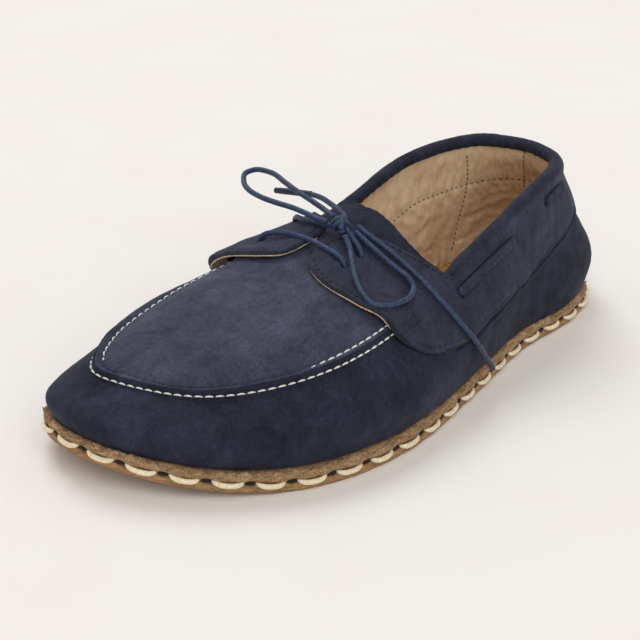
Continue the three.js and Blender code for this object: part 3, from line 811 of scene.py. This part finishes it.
def round_sole(path, normals, middle, length, wobble, samples):
    """A short stretch of the line round the sole for each stitch: its number, points and
    normals, and -1 to 1 along it. middle shifts it by a share of the pitch."""
    run = arc(path)
    pitch = run[-1] / SOLE_STITCHES
    shape = np.linspace(-1, 1, samples)
    for k in range(SOLE_STITCHES):
        where = ((k + middle) * pitch + shape * (length + math.sin(k * 2.7) * wobble) / 2) % run[-1]
        yield k, at_length(path, run, where), unit(at_length(normals, run, where)), shape


def sole():
    """Both plates, the stitches round them with a dark slot of painted shade between each two, and the
    insole.
    """
    sole_layer("outsole_plate", OUTSOLE_PROFILE, 0.35, OUTSOLE, "sole_leather", "outsole", 11)
    sole_layer("midsole_welt", MIDSOLE_PROFILE, 1.1, MIDSOLE, "midsole_leather", "midsole", 23)
    line, out = sole_edge(np.append(SOLE_SHARES, 1.0), -0.2)
    path = np.column_stack([line, SOLE_STITCH_HEIGHT + toe_lift(line[:, 1])])
    normals = np.column_stack([out, np.zeros(len(out))])
    holes = []
    # Painted shade: a near-black sweep set into the pinched edge stands for the shade in each stitch hole.
    for _, p, n, shape in round_sole(path, normals, 0, SOLE_HOLE, 0, 7):
        full = np.sqrt(1 - 0.9 * shape**4)
        holes.append(sweep(p + (0, 0, 0.35) - n * 0.95, n, 0.62 * full, 0.5 * full, 8))
    add_mesh("sole_hole_shade", *joined(holes), HOLE_SHADE, "midsole_leather")
    parts = []
    for k, p, n, shape in round_sole(path, normals, 0.5, SOLE_STITCH, 0.45, 13):
        p = p + n * (0.35 - 1.7 * shape**4)[:, None]
        p[:, 2] += 0.75 * shape**2 - 0.3 + 0.1 * math.sin(k * 1.9)
        full = np.sqrt(1 - 0.86 * shape**4)
        parts.append(sweep(p, n, 1.04 * full, 0.85 * full, 12))
    add_mesh("sole_stitches", *joined(parts), SOLE_THREAD, "lace_cord")
    insole()


def insole():
    """The sheet that the foot stands on, turned up a little at its edges."""
    across = np.linspace(0, 1, 41)
    k = np.arange(1, len(SOLE_SHARES) // 2, 3)
    inner, _ = sole_edge(SOLE_SHARES, WELT_LEDGE + WALL + GAP)
    flat = inner[k][:, None] * (1 - across[:, None]) + inner[-k][:, None] * across[:, None]
    rise = 0.7 * (2 * np.abs(across - 0.5)) ** 6
    top = np.dstack([flat, INSOLE_TOP - 0.6 + toe_lift(flat[..., 1]) + rise])
    top[..., 2] += 0.18 * waves(top, 30, 5)
    under = np.dstack([flat, UPPER_BASE + 0.1 + toe_lift(flat[..., 1])])
    slab("insole_sheet", top, under, INSOLE, "insole_leather", ["insole"])


# ------------------------------------------------------------------ upper
SUNK_ROW = (0.338, 0.575)             # ring shares between which the inner white row sinks out of sight
SEAM_ENDS = (0.262, 0.737)            # ring shares where the moccasin ridge fades under the facings
CREASES = [
    ((44, -52, 30), (56, -38, 22), 5.0, -0.6),
    ((50, -62, 24), (57, -48, 18), 6.0, 0.5),
    ((-44, -48, 30), (-48, -34, 20), 5.0, -0.6),
    ((24, -46, 52), (-2, -50, 54), 5.5, -0.7),
    ((28, -58, 47), (-10, -62, 50), 6.5, -0.55),
    ((14, -54, 50), (-20, -52, 52), 5.0, 0.45),
    ((-24, -60, 46), (2, -72, 47), 5.5, -0.4),
    ((30, -74, 41), (4, -82, 44), 7.0, 0.4),
    ((46, 8, 20), (40, 40, 16), 6.0, -0.5),
    ((36, 96, 34), (24, 122, 28), 7.0, -0.45),
    ((56, -92, 18), (40, -112, 20), 7.0, 0.35),
    ((54, -20, 14), (50, 6, 20), 5.0, -0.5),
]


def seam_scale(s, inboard):
    """Millimetres of wall for one unit of u, just inboard or outboard of the rim."""
    return np.where(inboard, climb_scale(s, 2.03), climb_scale(s, 1.97))


def seam_climb(s, off=0.0):
    """u on the last `off` millimetres inboard of the moccasin ridge's crest."""
    inboard = off + SEAM_INBOARD
    return 2 + inboard / seam_scale(s, inboard > 0)


def seam_off(s, u):
    """Millimetres from the moccasin ridge's crest at (s, u), inboard positive."""
    return (u - 2) * seam_scale(s, u > 2) - SEAM_INBOARD


def seam_share(s):
    """1 along the moccasin seam, fading to 0 under the facings."""
    return ease(s, SEAM_ENDS[0] - 0.012, SEAM_ENDS[0]) * (1 - ease(s, SEAM_ENDS[1], SEAM_ENDS[1] + 0.012))


def ridge_height(off, along, present, y):
    """Height of the moccasin ridge `off` millimetres from its crest; it is tallest at the toe."""
    half = RIDGE_HALF - 0.2 * ease(off, -0.5, 0.5)
    body = (RIDGE_HEIGHT + RIDGE_TOE * ease(-y, 42, 78)) * np.exp(-np.abs(off / half) ** 2.4)
    groove = -0.9 * bell(off, 0.36)
    stitch = 0.5 + 0.5 * np.cos(2 * math.pi * along / MOC_PITCH)
    pucker = -0.42 * stitch * bell(np.abs(off) - STITCH_OFF, 0.75)
    gather = -0.16 * stitch * ease(np.abs(off), 1.5, 3) * bell(np.abs(off) - 2.5, 4.0)
    valley = -0.35 * ease(-y, 50, 78) * bell(off - STITCH_OFF, 0.8)
    return present * (body + groove + pucker + gather + valley)


UPPER_SHARES, _ = ring_shares(700)
SEAM_RUN = arc(last(UPPER_SHARES, seam_climb(UPPER_SHARES)))


def shell(base, normal, height):
    """Outer and inner points of a leather shell whose outer face stands at height."""
    return base + normal * height[..., None], base + normal * np.minimum(height - 0.5, -0.9)[..., None]


def upper_wall():
    """The wall from the sole up to the moccasin ridge, and behind it to the collar."""
    s = UPPER_SHARES
    collar = 2 - 2.4 / climb_scale(s, 1.9)
    blend = ease(s, 0.235, 0.25) * (1 - ease(s, 0.755, 0.77))
    top = collar * (1 - blend) + (seam_climb(s) - 0.002) * blend
    rows = np.concatenate([np.linspace(0, 0.76, 26), 1 - 0.225 * np.linspace(1, 0, 34) ** 1.4])
    u = rows[:, None] * top[None]
    ss = np.broadcast_to(s, u.shape)
    base, normal = last(ss, u), facing_out(ss, u)
    height = ridge_height(seam_off(ss, u), SEAM_RUN[None], seam_share(s)[None], base[..., 1])
    height += folds(base, CREASES)
    height += 0.22 * waves(base, 38, 3)
    height += 0.05 * waves(base, 9, 4)
    height -= 0.9 * bell(u, 0.05)         # tucked in where it meets the welt
    # The wall's nubuck is darkened with painted shade.
    slab("upper_wall", *shell(base, normal, height), NUBUCK, "nubuck", ["upper"], wrap=True)


def apron():
    """The plug over the instep and toes, inside the moccasin ridge."""
    runs = np.interp([0.243, 0.4999], UPPER_SHARES, SEAM_RUN)
    s = np.interp(np.linspace(*runs, 230), SEAM_RUN, UPPER_SHARES)
    start = seam_climb(s) + 0.002
    end = 6 - seam_climb(1 - s) - 0.002
    edge = 0.13
    rows = np.concatenate([
        np.linspace(0, edge, 26), np.linspace(edge, 1 - edge, 60)[1:-1], np.linspace(1 - edge, 1, 26)])
    u = start + (end - start) * rows[:, None]
    ss = np.broadcast_to(s, u.shape)
    base, normal = last(ss, u), facing_out(ss, u)
    medial = u > 3
    ring = np.where(medial, 1 - ss, ss)
    off = seam_off(ring, np.where(medial, 6 - u, u))
    height = ridge_height(off, np.interp(ring, UPPER_SHARES, SEAM_RUN), seam_share(ring), base[..., 1])
    height += folds(base, CREASES)
    height += 0.3 * waves(base, 34, 8)
    height += 0.05 * waves(base, 9, 9)
    height = np.maximum(height, -0.75)    # never down to the lining
    # The plug's nubuck is lightened with painted light, on top of its own lighter tone.
    slab("upper_apron", *shell(base, normal, height), NUBUCK_PLUG, "nubuck")


def moccasin_stitches():
    """A white row on each side of the ridge; the inner one sinks away round the toe."""
    keep = (UPPER_SHARES > SEAM_ENDS[0]) & (UPPER_SHARES < SEAM_ENDS[1])
    s = UPPER_SHARES[keep]
    sunk = ease(s, SUNK_ROW[0] - 0.02, SUNK_ROW[0]) * (1 - ease(s, SUNK_ROW[1], SUNK_ROW[1] + 0.015))
    parts = []
    for off in (-STITCH_OFF, STITCH_OFF):
        u = seam_climb(s, off)
        height = ridge_height(np.full_like(s, off), MOC_PITCH / 2, 1.0, last(s, u)[:, 1])
        if off > 0:
            height = height - 1.3 * sunk
        path, n = above(s, u, height), facing_out(s, u)
        parts.append(stitch_row(path, n, 3.15, MOC_PITCH, 0.37, 0.30, 0.5, lift=0.1))
    add_mesh("moccasin_stitches", *joined(parts), WHITE_THREAD, "lace_cord")


LINING_SEAM_DROP = 24.0               # the level seam runs this far below the collar
LINING_SEAM = [(94.8, 14), (96.5, 28), (96.6, 42), (95.2, 54), (91.4, 65)]    # (y, z), on both sides
HEEL_LINING_SEAM = [(-1.5, 106), (-5.0, 111), (-8.0, 116), (-10.2, 121)]    # plan points, medial side


def lining_height(base, along, drop):
    """How far the lining stands off the last, with its gathers and seams; drop is the
    distance below the collar."""
    under_seam = drop - LINING_SEAM_DROP
    below = ease(drop, LINING_SEAM_DROP, LINING_SEAM_DROP + 2)
    behind = ease(base[..., 1], -5, 20)
    heel = ease(base[..., 1], 70, 96)
    upright = np.sin(along * 1.25 + 0.10 * drop + 2.0 * waves(base, 24, 31))
    upright = upright * (0.5 + 0.5 * waves(base, 15, 33)) * bell(under_seam + 7, 11) * (1 - below)
    level = np.sin(drop * 0.95 + 0.05 * along + 2.4 * waves(base, 30, 37))
    level = level * (0.45 + 0.55 * waves(base, 20, 39)) * bell(under_seam - 20, 11) * below
    pulls = np.sin(along * 0.8 - 0.5 * drop + 2.6 * waves(base, 20, 35)) * bell(under_seam - 6, 6) * below
    past_seam = base[..., 1] - np.interp(base[..., 2], *np.array(LINING_SEAM).T[::-1])
    calm = 1 - 0.9 * bell(past_seam, 2.4)     # so that the upright seam's stitches stay in sight
    gathers = (1.0 * (0.25 + 0.75 * heel) * upright + 0.6 * level + 0.45 * pulls
               + 0.28 * waves(base, 17, 41) + 0.06 * waves(base, 4.5, 43))
    height = -WALL + behind * calm * gathers
    height = height + behind * 0.45 * bell(under_seam, 0.9) - 0.3 * behind * bell(under_seam - 1.6, 1.2)
    height = height + 0.3 * bell(past_seam, 0.8) - 0.3 * bell(past_seam - 1.7, 1.0)
    return np.minimum(height, -WALL + 0.9)


def lining():
    """The leather inside: up the whole wall, over the toes, open at the throat and collar."""
    s, _ = ring_shares(500)
    collar = 2 - 1.2 / climb_scale(s, 1.9)
    over_toes = ease(s, 0.222, 0.285) * (1 - ease(s, 0.715, 0.778))
    top = collar * (1 - over_toes) + 2.995 * over_toes
    u = np.linspace(0, 1, 80)[:, None] * top[None]
    ss = np.broadcast_to(s, u.shape)
    base, normal = last(ss, u), facing_out(ss, u)
    along = SOLE_ROUND * np.where(ss > 0.5, ss - 1, ss)
    drop = (collar - u) * climb_scale(ss, np.clip(u, 0.02, 2))
    inner = base + normal * lining_height(base, along, drop)[..., None]
    slab("lining_sheet", base - normal, inner, LINING, "insole_leather", wrap=True)
    lining_stitches(s, collar)


def lining_stitches(s, collar):
    """The level row behind the throat, and the upright ones near the heel."""
    rear = np.where(last(s, 1.5)[:, 1] > 4)[0]
    order = np.concatenate([rear[s[rear] > 0.5], rear[s[rear] <= 0.5]])
    ring = s[order]
    level = np.column_stack([ring, collar[order] - LINING_SEAM_DROP / climb_scale(ring, 1.5)])
    upright = [(None, y, z) for y, z in LINING_SEAM]
    at_heel = [(x, y, None) for x, y in HEEL_LINING_SEAM]
    rows = [(level, 2.7)] + [
        (smooth(locate(points, side)), 2.4) for side, points in ((1, upright), (-1, upright), (-1, at_heel))]
    parts = [stitch_row(above(*row.T, -WALL - 0.15), -facing_out(*row.T), 1.5, pitch, 0.24, 0.2, 0.3)
             for row, pitch in rows]
    add_mesh("lining_stitches", *joined(parts), TAN_THREAD, "insole_leather")


BACKSTAY_HEIGHT = 49.5
BACKSTAY_HALF = (17.0, 12.5)          # half its width at the sole and at its top
BACKSTAY_RING = SOLE_ROUND * 0.86     # millimetres round the heel for one unit of s


def backstay():
    """The strip up the back of the heel, with a row of stitches along each side."""
    low, high = BACKSTAY_HALF
    across = shares(44, (0.01, 0.03))
    rows = shares(60, (0.006, 0.016))
    u = heel_climb(9 + (BACKSTAY_HEIGHT - 9) * rows)[:, None] * np.ones(len(across))
    half = (low + (high - low) * rows)[:, None] / BACKSTAY_RING
    s = ((across[None] * 2 - 1) * half) % 1
    base, normal = last(s, u), facing_out(s, u)
    edge = np.minimum(np.minimum(across, 1 - across)[None] * 2 * low, (1 - rows)[:, None] * BACKSTAY_HEIGHT)
    height = 1.5 * np.sqrt(1 - (1 - np.clip(edge / 1.1, 0.05, 1)) ** 2)
    height = height - 0.3 * bell(edge - 1.9, 0.6) + 0.06 * waves(base, 12, 51)
    slab("backstay_strip", base + normal * height[..., None], base + normal * 0.1,
         NUBUCK_BAND, "nubuck", ["backstay"])
    for k, place in enumerate((-0.88, 0.88)):
        line = (place * (low + (high - low) * rows) / BACKSTAY_RING) % 1, u[:, 0]
        dark_row(f"backstay_stitches_{k}", above(*line, 1.2), facing_out(*line))


# ------------------------------------------------------------------ facings and collar bands
# Front edge from the sewn lobe up over the instep, and the top edge from there back to
# the collar: points (x, y, z) with the free coordinate None. The front edge stands up by
# lift from the shares in free on, and by corner near its corner; shoulder raises the
# leather behind it. heel is where the band ends round the ring.
BANDS = {
    "lateral": dict(
        side=1, heel=0.0,
        front=[(None, -12, 30.0), (None, -21, 32.0), (None, -30, 37.0), (None, -34, 42.5),
               (41.0, -34.0, None), (31.5, -37.8, None), (16, -39.0, None), (6.5, -35.8, None),
               (1.0, -29.5, None)],
        top=[(1.0, -29.5, None), (0.4, -24, None), (1.4, -17, None), (6, -10.6, None), (13, -5.6, None),
             (22, -0.4, None), (29, 4.8, None), (None, 11.5, 47.0)],
        eyelets=[(14.7, -26.5, None), (13.9, -17.6, None)],
        lift=1.2, corner=0.6, free=(0.24, 0.42), shoulder=0.0),
    "medial": dict(
        side=-1, heel=1.0,
        front=[(None, -12, 30.0), (None, -20, 30.0), (None, -28, 31.5), (None, -35.5, 36.0),
               (-42.8, -38.2, None), (-33.0, -39.2, None), (-18, -38.6, None), (-9.0, -34.6, None),
               (-6.2, -28.5, None)],
        top=[(-6.2, -28.5, None), (-5.6, -22, None), (-6.6, -15, None), (-12, -9.0, None), (-19, -4.6, None),
             (-26, 1.4, None), (-31, 7.5, None), (None, 13.5, 50.5)],
        eyelets=[(-26.8, -28, None), (-27.4, -9.5, None)],
        lift=1.7, corner=1.8, free=(0.16, 0.36), shoulder=3.4),
}
BAND_BOTTOM = [
    (None, -12, 30.0), (None, 0, 28.3), (None, 9.5, 27.7), (None, 22.7, 29.3), (None, 38.2, 30.7),
    (None, 54.7, 32.0), (None, 66, 34.2), (None, 76.4, 37.0), (None, 89.2, 40.8), (None, 101, 45.0),
    (None, 116, 49)]


BAND_CREASES = [
    ((46, 0, 40), (50, -18, 36), 4.5, -0.5),
    ((42, 10, 38), (47, 2, 32), 3.5, -0.5),
    ((38, -20, 50), (50, -24, 42), 6.0, 0.5),
    ((36, 22, 44), (40, 30, 38), 5.0, -0.35),
    ((34, 60, 50), (33, 76, 54), 5.0, 0.35),
]
REAR_STRAP = [(None, 75.0, 61.0), (None, 83, 62.0), (None, 91, 62.0)]
# The side that each strap is on, and its middle line.
STRAPS = [
    (1, [(None, 10.4, 41.6), (None, 23.7, 45.0), (None, 35.8, 49.1), (None, 48.4, 53.0)]),
    (1, REAR_STRAP),
    (-1, [(None, 10.4, 44.0), (None, 23.7, 47.6), (None, 35.8, 51.4), (None, 48.4, 54.6)]),
    (-1, REAR_STRAP),
]
STRAP_HALF = 1.8


def to_boundary(points, line):
    """Distance of grid points to a polyline, and the share along it of the nearest point."""
    away = np.empty(points.shape[:2])
    where = np.empty(points.shape[:2], int)
    for r, row in enumerate(points):
        d = ((row[:, None] - line[None]) ** 2).sum(-1)
        where[r] = d.argmin(1)
        away[r] = np.sqrt(d.min(1))
    return away, where / (len(line) - 1)


def edge_line(curve):
    """Points on the last along an (s, u) curve."""
    run = arc(curve * (RING_WEIGHT, 1))
    return last(*at_length(curve, run / run[-1], np.linspace(0, 1, 500)).T)


def edge_path(curve, side, inboard, stand, ends, lift=None):
    """Points and normals `inboard` of an edge of a band and `stand` off the last, between
    two shares of it; lift, a function of the share, stands them off further."""
    share = np.linspace(*ends, 400)
    run = arc(last(*curve.T))
    su = at_length(curve, run, share * run[-1])
    p, n = last(*su.T), facing_out(*su.T)
    inward = unit(np.cross(n, unit(np.gradient(p, axis=0)))) * -side
    extra = lift(share) if lift else 0 * share
    return p + inward * inboard + n * (stand + extra)[:, None], n


def band_edges(side, heel, front, top):
    """(s, u) curves of a band's front, top, collar, lower and heel edges."""
    front, top = outline(front, side, 240), outline(top, side, 200)
    ring = np.linspace(top[-1, 0], heel, 60)[1:]
    collar = np.column_stack([ring, 2 - 0.35 / climb_scale(ring, 1.9)])
    back_low = heel_climb(50.5)
    low = np.vstack([outline(BAND_BOTTOM, side, 240), [[heel, back_low]]])
    back = np.column_stack([np.full(30, heel), np.linspace(back_low, collar[-1, 1], 30)])
    return front, top, collar, low, back


def band(name, side, heel, front, top, eyelets, lift, corner, free, shoulder):
    """A facing with its collar band, its lining, seam bead, edge cords and stitches."""
    rows, cols = shares(70), shares(236, (0.0015, 0.004, 0.008))
    front, top, collar, low, back = band_edges(side, heel, front, top)
    s, u = np.moveaxis(coons(front, back, low, np.vstack([top, collar]), rows, cols), -1, 0)
    base, normal = last(s, u), facing_out(s, u)
    (d_front, at_front), (d_low, _), (d_top, _), (d_collar, _) = (
        to_boundary(base, edge_line(curve)) for curve in (front, low, top, collar))
    middle = sum(free) / 2

    def front_up(share, away=0.0):
        """How far the front edge stands up, and the leather `away` millimetres behind it."""
        return (lift * ease(share, *free) * bell(away, 9)
                + corner * bell(share - middle - 0.14, 0.16) * bell(away, 7))

    x, y, z = np.moveaxis(base, -1, 0)
    raised = front_up(at_front, d_front)
    at_shoulder = bell(np.abs(x) - 40, 9) * ease(z, 33, 43) * ease(y, -46, -24) * (1 - ease(y, -4, 12))
    raised = raised + shoulder * at_shoulder
    # Thickness, rounded at the free edges.
    edge = np.minimum(np.minimum(d_front, d_top), d_low)
    thick = BAND_OUT - 0.15 * bell(d_low, 4.0)
    height = 0.95 + (thick - 0.95) * np.sqrt(1 - (1 - np.clip(edge / 0.8, 0, 1)) ** 2)
    # Behind the throat it wraps the padded roll, with a groove along it.
    throat_y = edge_line(top)[-1, 1] - 2
    rolled = (y > throat_y) * ease(y, throat_y, throat_y + 14)
    wrap = (ROLL_RADIUS - BAND_OUT + 0.08) * bell(d_collar, 2.3) - 0.7 * bell(d_collar, 0.5)
    height = height + rolled * wrap
    # Drawn in along the stitch rows, and carried over the moccasin ridge.
    height = height - 0.28 * bell(d_low - 1.9, 0.7) - 0.22 * bell(np.minimum(d_front, d_top) - 1.9, 0.6)
    height = height + 1.1 * bell(seam_off(s, u), 3.2) * bell(d_front, 16) * ease(at_front, 0.2, 0.3)
    height = height + folds(base, BAND_CREASES) + 0.22 * waves(base, 26, 61) + 0.04 * waves(base, 7, 62)
    # Sunk under the straps and at the eyelets.
    for strap_side, points in STRAPS:
        if strap_side == side:
            away, _ = to_boundary(base, last(*outline(points, side, 220).T))
            height = height - 1.0 * np.exp(-(away / (STRAP_HALF + 0.6)) ** 8)
    for place in locate(eyelets, side):
        away = np.linalg.norm(base - last(*place), axis=-1)
        height = height - 1.5 * np.exp(-(away / 1.55) ** 4) + 0.18 * bell(away - 2.3, 0.7)
    slab(f"band_{name}_leather", base + normal * (height + raised)[..., None],
         base + normal * (GAP + 0.1 + raised)[..., None], NUBUCK_BAND, "nubuck", [f"band_{name}"])

    # The pale lining that shows under the free part of the front edge.
    shown = slice(int(np.argmax(rows > middle + 0.03)), len(rows)), slice(0, int(np.argmax(cols > 0.055)))
    sheet, up = base[shown], normal[shown]
    beyond = unit(sheet[:, :1] - sheet[:, 6:7]) * (0.35 * bell(d_front[shown], 0.8))[..., None]
    stand = GAP + raised[shown]
    slab(f"facing_{name}_lining", sheet + beyond + up * (stand + 0.1)[..., None],
         sheet + beyond + up * (stand - 0.5)[..., None], LINING_EDGE, "insole_leather")
    band_trim(name, side, front, top, low, lift, front_up)


def band_trim(name, side, front, top, low, lift, front_up):
    """A band's seam bead, the dark cords along its cut edges, and its stitch rows. The front cord is the dyed
    cut edge with painted shade at its foot; the lower cord is painted shade in the seam's groove.
    """
    seam, n = edge_path(low, side, 2.2, 0.1, (0.05, 0.985))
    full = np.sqrt(ease(np.linspace(0, 1, len(seam)), 0, 0.05))
    add_mesh(f"band_{name}_bead", *sweep(seam, n, 1.6 * full, 1.25 * full, 12), NUBUCK, "nubuck")
    # The front cord is the dyed cut edge with painted shade under it. The lower cord is painted shade along
    # the seam.
    cords = (("front", front, 0.12, 0.8, front_up), ("low", low, 0.3, 0.3, None))
    for part, curve, inboard, stand, up in cords:
        path, n = edge_path(curve, side, inboard, stand, (0.0, 0.99), up)
        add_mesh(f"band_{name}_edge_{part}", *sweep(path, n, 0.55, 0.5, 8), DARK_THREAD_AND_SHADE, "nubuck")

    def front_row_up(share):
        return front_up(share) * 0.85

    def top_row_up(share):
        return lift * (1 - ease(share, 0.1, 0.5))

    stitch_rows = [
        (front, 2.0, BAND_OUT - 0.2, (0.02, 0.97), front_row_up, 2.1),
        (top, 1.9, BAND_OUT - 0.2, (0.03, 0.99), top_row_up, 2.1),
        (low, -1.9, BAND_OUT - 0.85, (0.04, 0.985), None, 2.0),
    ]
    parts = [stitch_row(*edge_path(curve, side, inboard, stand, ends, up), length, 3.0, 0.3, 0.24, 0.5)
             for curve, inboard, stand, ends, up, length in stitch_rows]
    add_mesh(f"band_{name}_stitches", *joined(parts), DARK_THREAD_AND_SHADE, "nubuck")


# ------------------------------------------------------------------ tongue, collar, straps
TONGUE_LATERAL = [(10, -36), (19, -22), (26, -8), (31, 4), (31.6, 10.5)]
TONGUE_TOP = [
    (31.6, 10.5), (27, 6.6), (20.5, 5.2), (11, 5.2), (2, 5.6), (-9, 6.2), (-18, 7.2), (-25, 8.4), (-30, 11.5)]
TONGUE_MEDIAL = [(-22, -36), (-27, -18), (-30, -4), (-31, 5), (-30, 11.5)]
TONGUE_FRONT = [(10, -36), (-6.5, -36), (-22, -36)]
TONGUE_CREASES = [
    ((-20, -4, 63), (-6, 4, 66), 4.5, -0.4),
    ((12, -4, 63), (24, 4, 57), 5.0, 0.4),
]
CROWN_X = -6.0                    # plan points past this lie on the medial half


def over_crown(points, count):
    """(s, u) curve through plan points on both halves, in the lateral half's terms."""
    found = []
    for x, y in points:
        side = 1 if x > CROWN_X else -1
        s, u = locate([(x, y, None)], side)[0]
        found.append((s, u) if side > 0 else (1 - s, 6 - u))
    return evened(np.array(found), count)


def tongue():
    """The tongue, with a stitch row and a lip of lining along its top edge."""
    rows, cols = shares(84, (0.005, 0.012, 0.02)), shares(96, (0.006, 0.014, 0.022))
    top = over_crown(TONGUE_TOP, 220)
    s, u = np.moveaxis(coons(over_crown(TONGUE_LATERAL, 160), over_crown(TONGUE_MEDIAL, 160),
                             over_crown(TONGUE_FRONT, 120), top, rows, cols), -1, 0)
    base, normal = last(s, u), facing_out(s, u)
    top_line = last(*top.T)
    d_top, _ = to_boundary(base, top_line)
    raised = 1.7 * ease(base[..., 1], -24, -4)
    round_ = np.sqrt(1 - (1 - np.clip(d_top / 1.0, 0, 1)) ** 2)
    height = -2.35 + raised - 0.9 * (1 - round_) - 0.3 * bell(d_top - 1.9, 0.6) + 0.35 * bell(d_top - 5, 4)
    height = height + 0.3 * waves(base, 24, 71) + 0.05 * waves(base, 7, 72) + folds(base, TONGUE_CREASES)
    slab("tongue_leather", base + normal * height[..., None], base + normal * (-4.1 + raised)[..., None],
         NUBUCK, "nubuck", ["tongue"])
    n = facing_out(*top.T)
    inward = unit(np.cross(unit(np.gradient(top_line, axis=0)), n))
    inward = inward * np.sign(-inward[:, 1:2])
    dark_row("tongue_stitches", top_line + inward * 1.9 + n * -0.85, n, half_width=0.28, half_height=0.22)
    under = top_line + inward * 0.5 + n * -2.1
    add_mesh("tongue_lining", *sweep(under, n, 0.9, 0.45, 8), LINING_EDGE, "insole_leather")


def collar_roll():
    """The padded roll round the collar, drawn in by its seam."""
    ring = np.linspace(THROAT + 0.004, -THROAT - 0.004, 420)
    path = last(ring % 1, 2.0)
    run = arc(path)
    where = np.linspace(0, run[-1], 420)
    line = at_length(path, run, where)
    ends = np.minimum(where, run[-1] - where)
    sides = 24
    turn = turns(sides)
    around = line[:, None] + 3 * np.stack([np.cos(turn), np.sin(turn), 0 * turn], 1)[None]
    puff = 0.07 * waves(around, 24, 81, 2) + 0.05 * waves(around, 5.5, 82, 2)
    pinch = 0.05 * np.cos(2 * math.pi * where / 4.2)[:, None] * bell(np.sin(turn / 2 + 0.8)[None] - 0.2, 0.4)
    full = 0.5 + 0.5 * np.sqrt(np.clip(ends / 11, 0, 1))
    size = (ROLL_RADIUS * full)[:, None] * (1 + puff * 0.5 - pinch)
    points, faces = sweep(line, facing_out(ring % 1, 2.0), size, size, sides)
    roll = add_mesh("collar_padding", points, faces, NUBUCK_ROLL, "nubuck", ["collar_roll"])


def straps():
    """The flat straps that show between the slits of the collar bands, and a dark sweep along each slit:
    painted shade in the slits.
    """
    sides = 20
    turn = turns(sides)
    square = ((np.abs(np.cos(turn)) ** 4 + np.abs(np.sin(turn)) ** 4) ** -0.25)[None]
    for k, (side, points) in enumerate(STRAPS):
        su = outline(points, side, 220)
        path, n = above(*su.T, BAND_OUT - 0.35), facing_out(*su.T)
        run = arc(path)
        ends = np.minimum(run, run[-1] - run)
        blunt = np.sqrt(1 - (1 - np.clip(ends / STRAP_HALF, 0, 1)) ** 2)
        ribs = 1 + 0.09 * np.cos(2 * math.pi * run / 1.35)[:, None]
        wide = STRAP_HALF * np.clip(blunt, 0.12, 1)[:, None] * square
        tall = 0.8 * np.clip(blunt, 0.3, 1)[:, None] * square * ribs
        lifted = path + n * (0.4 - 0.5 * bell(ends, 1.2))[:, None]
        add_mesh(f"strap_{k}", *sweep(lifted, n, wide, tall, sides), NUBUCK_STRAP, "nubuck")
        across = unit(np.cross(unit(np.gradient(path, axis=0)), n)) * (STRAP_HALF + 0.5)
        # Painted shade: a dark sweep beside each long side of the strap stands for the shade in its slit.
        for name, way, stand, half_width in (("low", -1, -0.3, 0.5), ("high", 1, -0.05, 0.75)):
            slit = path + across * way + n * stand
            tube = sweep(slit[3:-3], n[3:-3], half_width, 0.3, 8)
            add_mesh(f"strap_slit_shade_{k}_{name}", *tube, DARK_THREAD_AND_SHADE, "nubuck")


# For each facing: its side, how far the box stands over the band at its two ends, and its
# upper and lower row, which sag a little between their ends.
BAR_TACKS = {
    "lateral": (1, (1.35, 0.6), [
        [(None, -28.3, 43.1), (None, -23.7, 42.1), (None, -19.1, 43.4)],
        [(None, -27.6, 40.9), (None, -22.9, 40.4), (None, -18.4, 41.4)]]),
    "medial": (-1, (0.0, 0.0), [
        [(None, -26, 42.0), (None, -21.4, 41.5), (None, -17, 43.0)],
        [(None, -25.3, 39.9), (None, -20.7, 39.4), (None, -16.3, 40.9)]]),
}


def bar_tacks():
    """A narrow box of dark stitches where each facing is held to the seam."""
    for name, (side, stand, rows) in BAR_TACKS.items():
        height = BAND_OUT + np.linspace(*stand, 60)
        lines = [outline(points, side, 60).T for points in rows]
        parts = [stitch_row(above(*su, height), facing_out(*su), 1.7, 2.3, 0.42, 0.34, 0.5) for su in lines]
        add_mesh(f"bar_tack_{name}", *joined(parts), DARK_THREAD_AND_SHADE, "nubuck")


# ------------------------------------------------------------------ the whole scene
studio()
look()
lace()
sole()
upper_wall()
apron()
moccasin_stitches()
lining()
backstay()
for band_name, facts in BANDS.items():
    band(band_name, **facts)
tongue()
collar_roll()
straps()
bar_tacks()
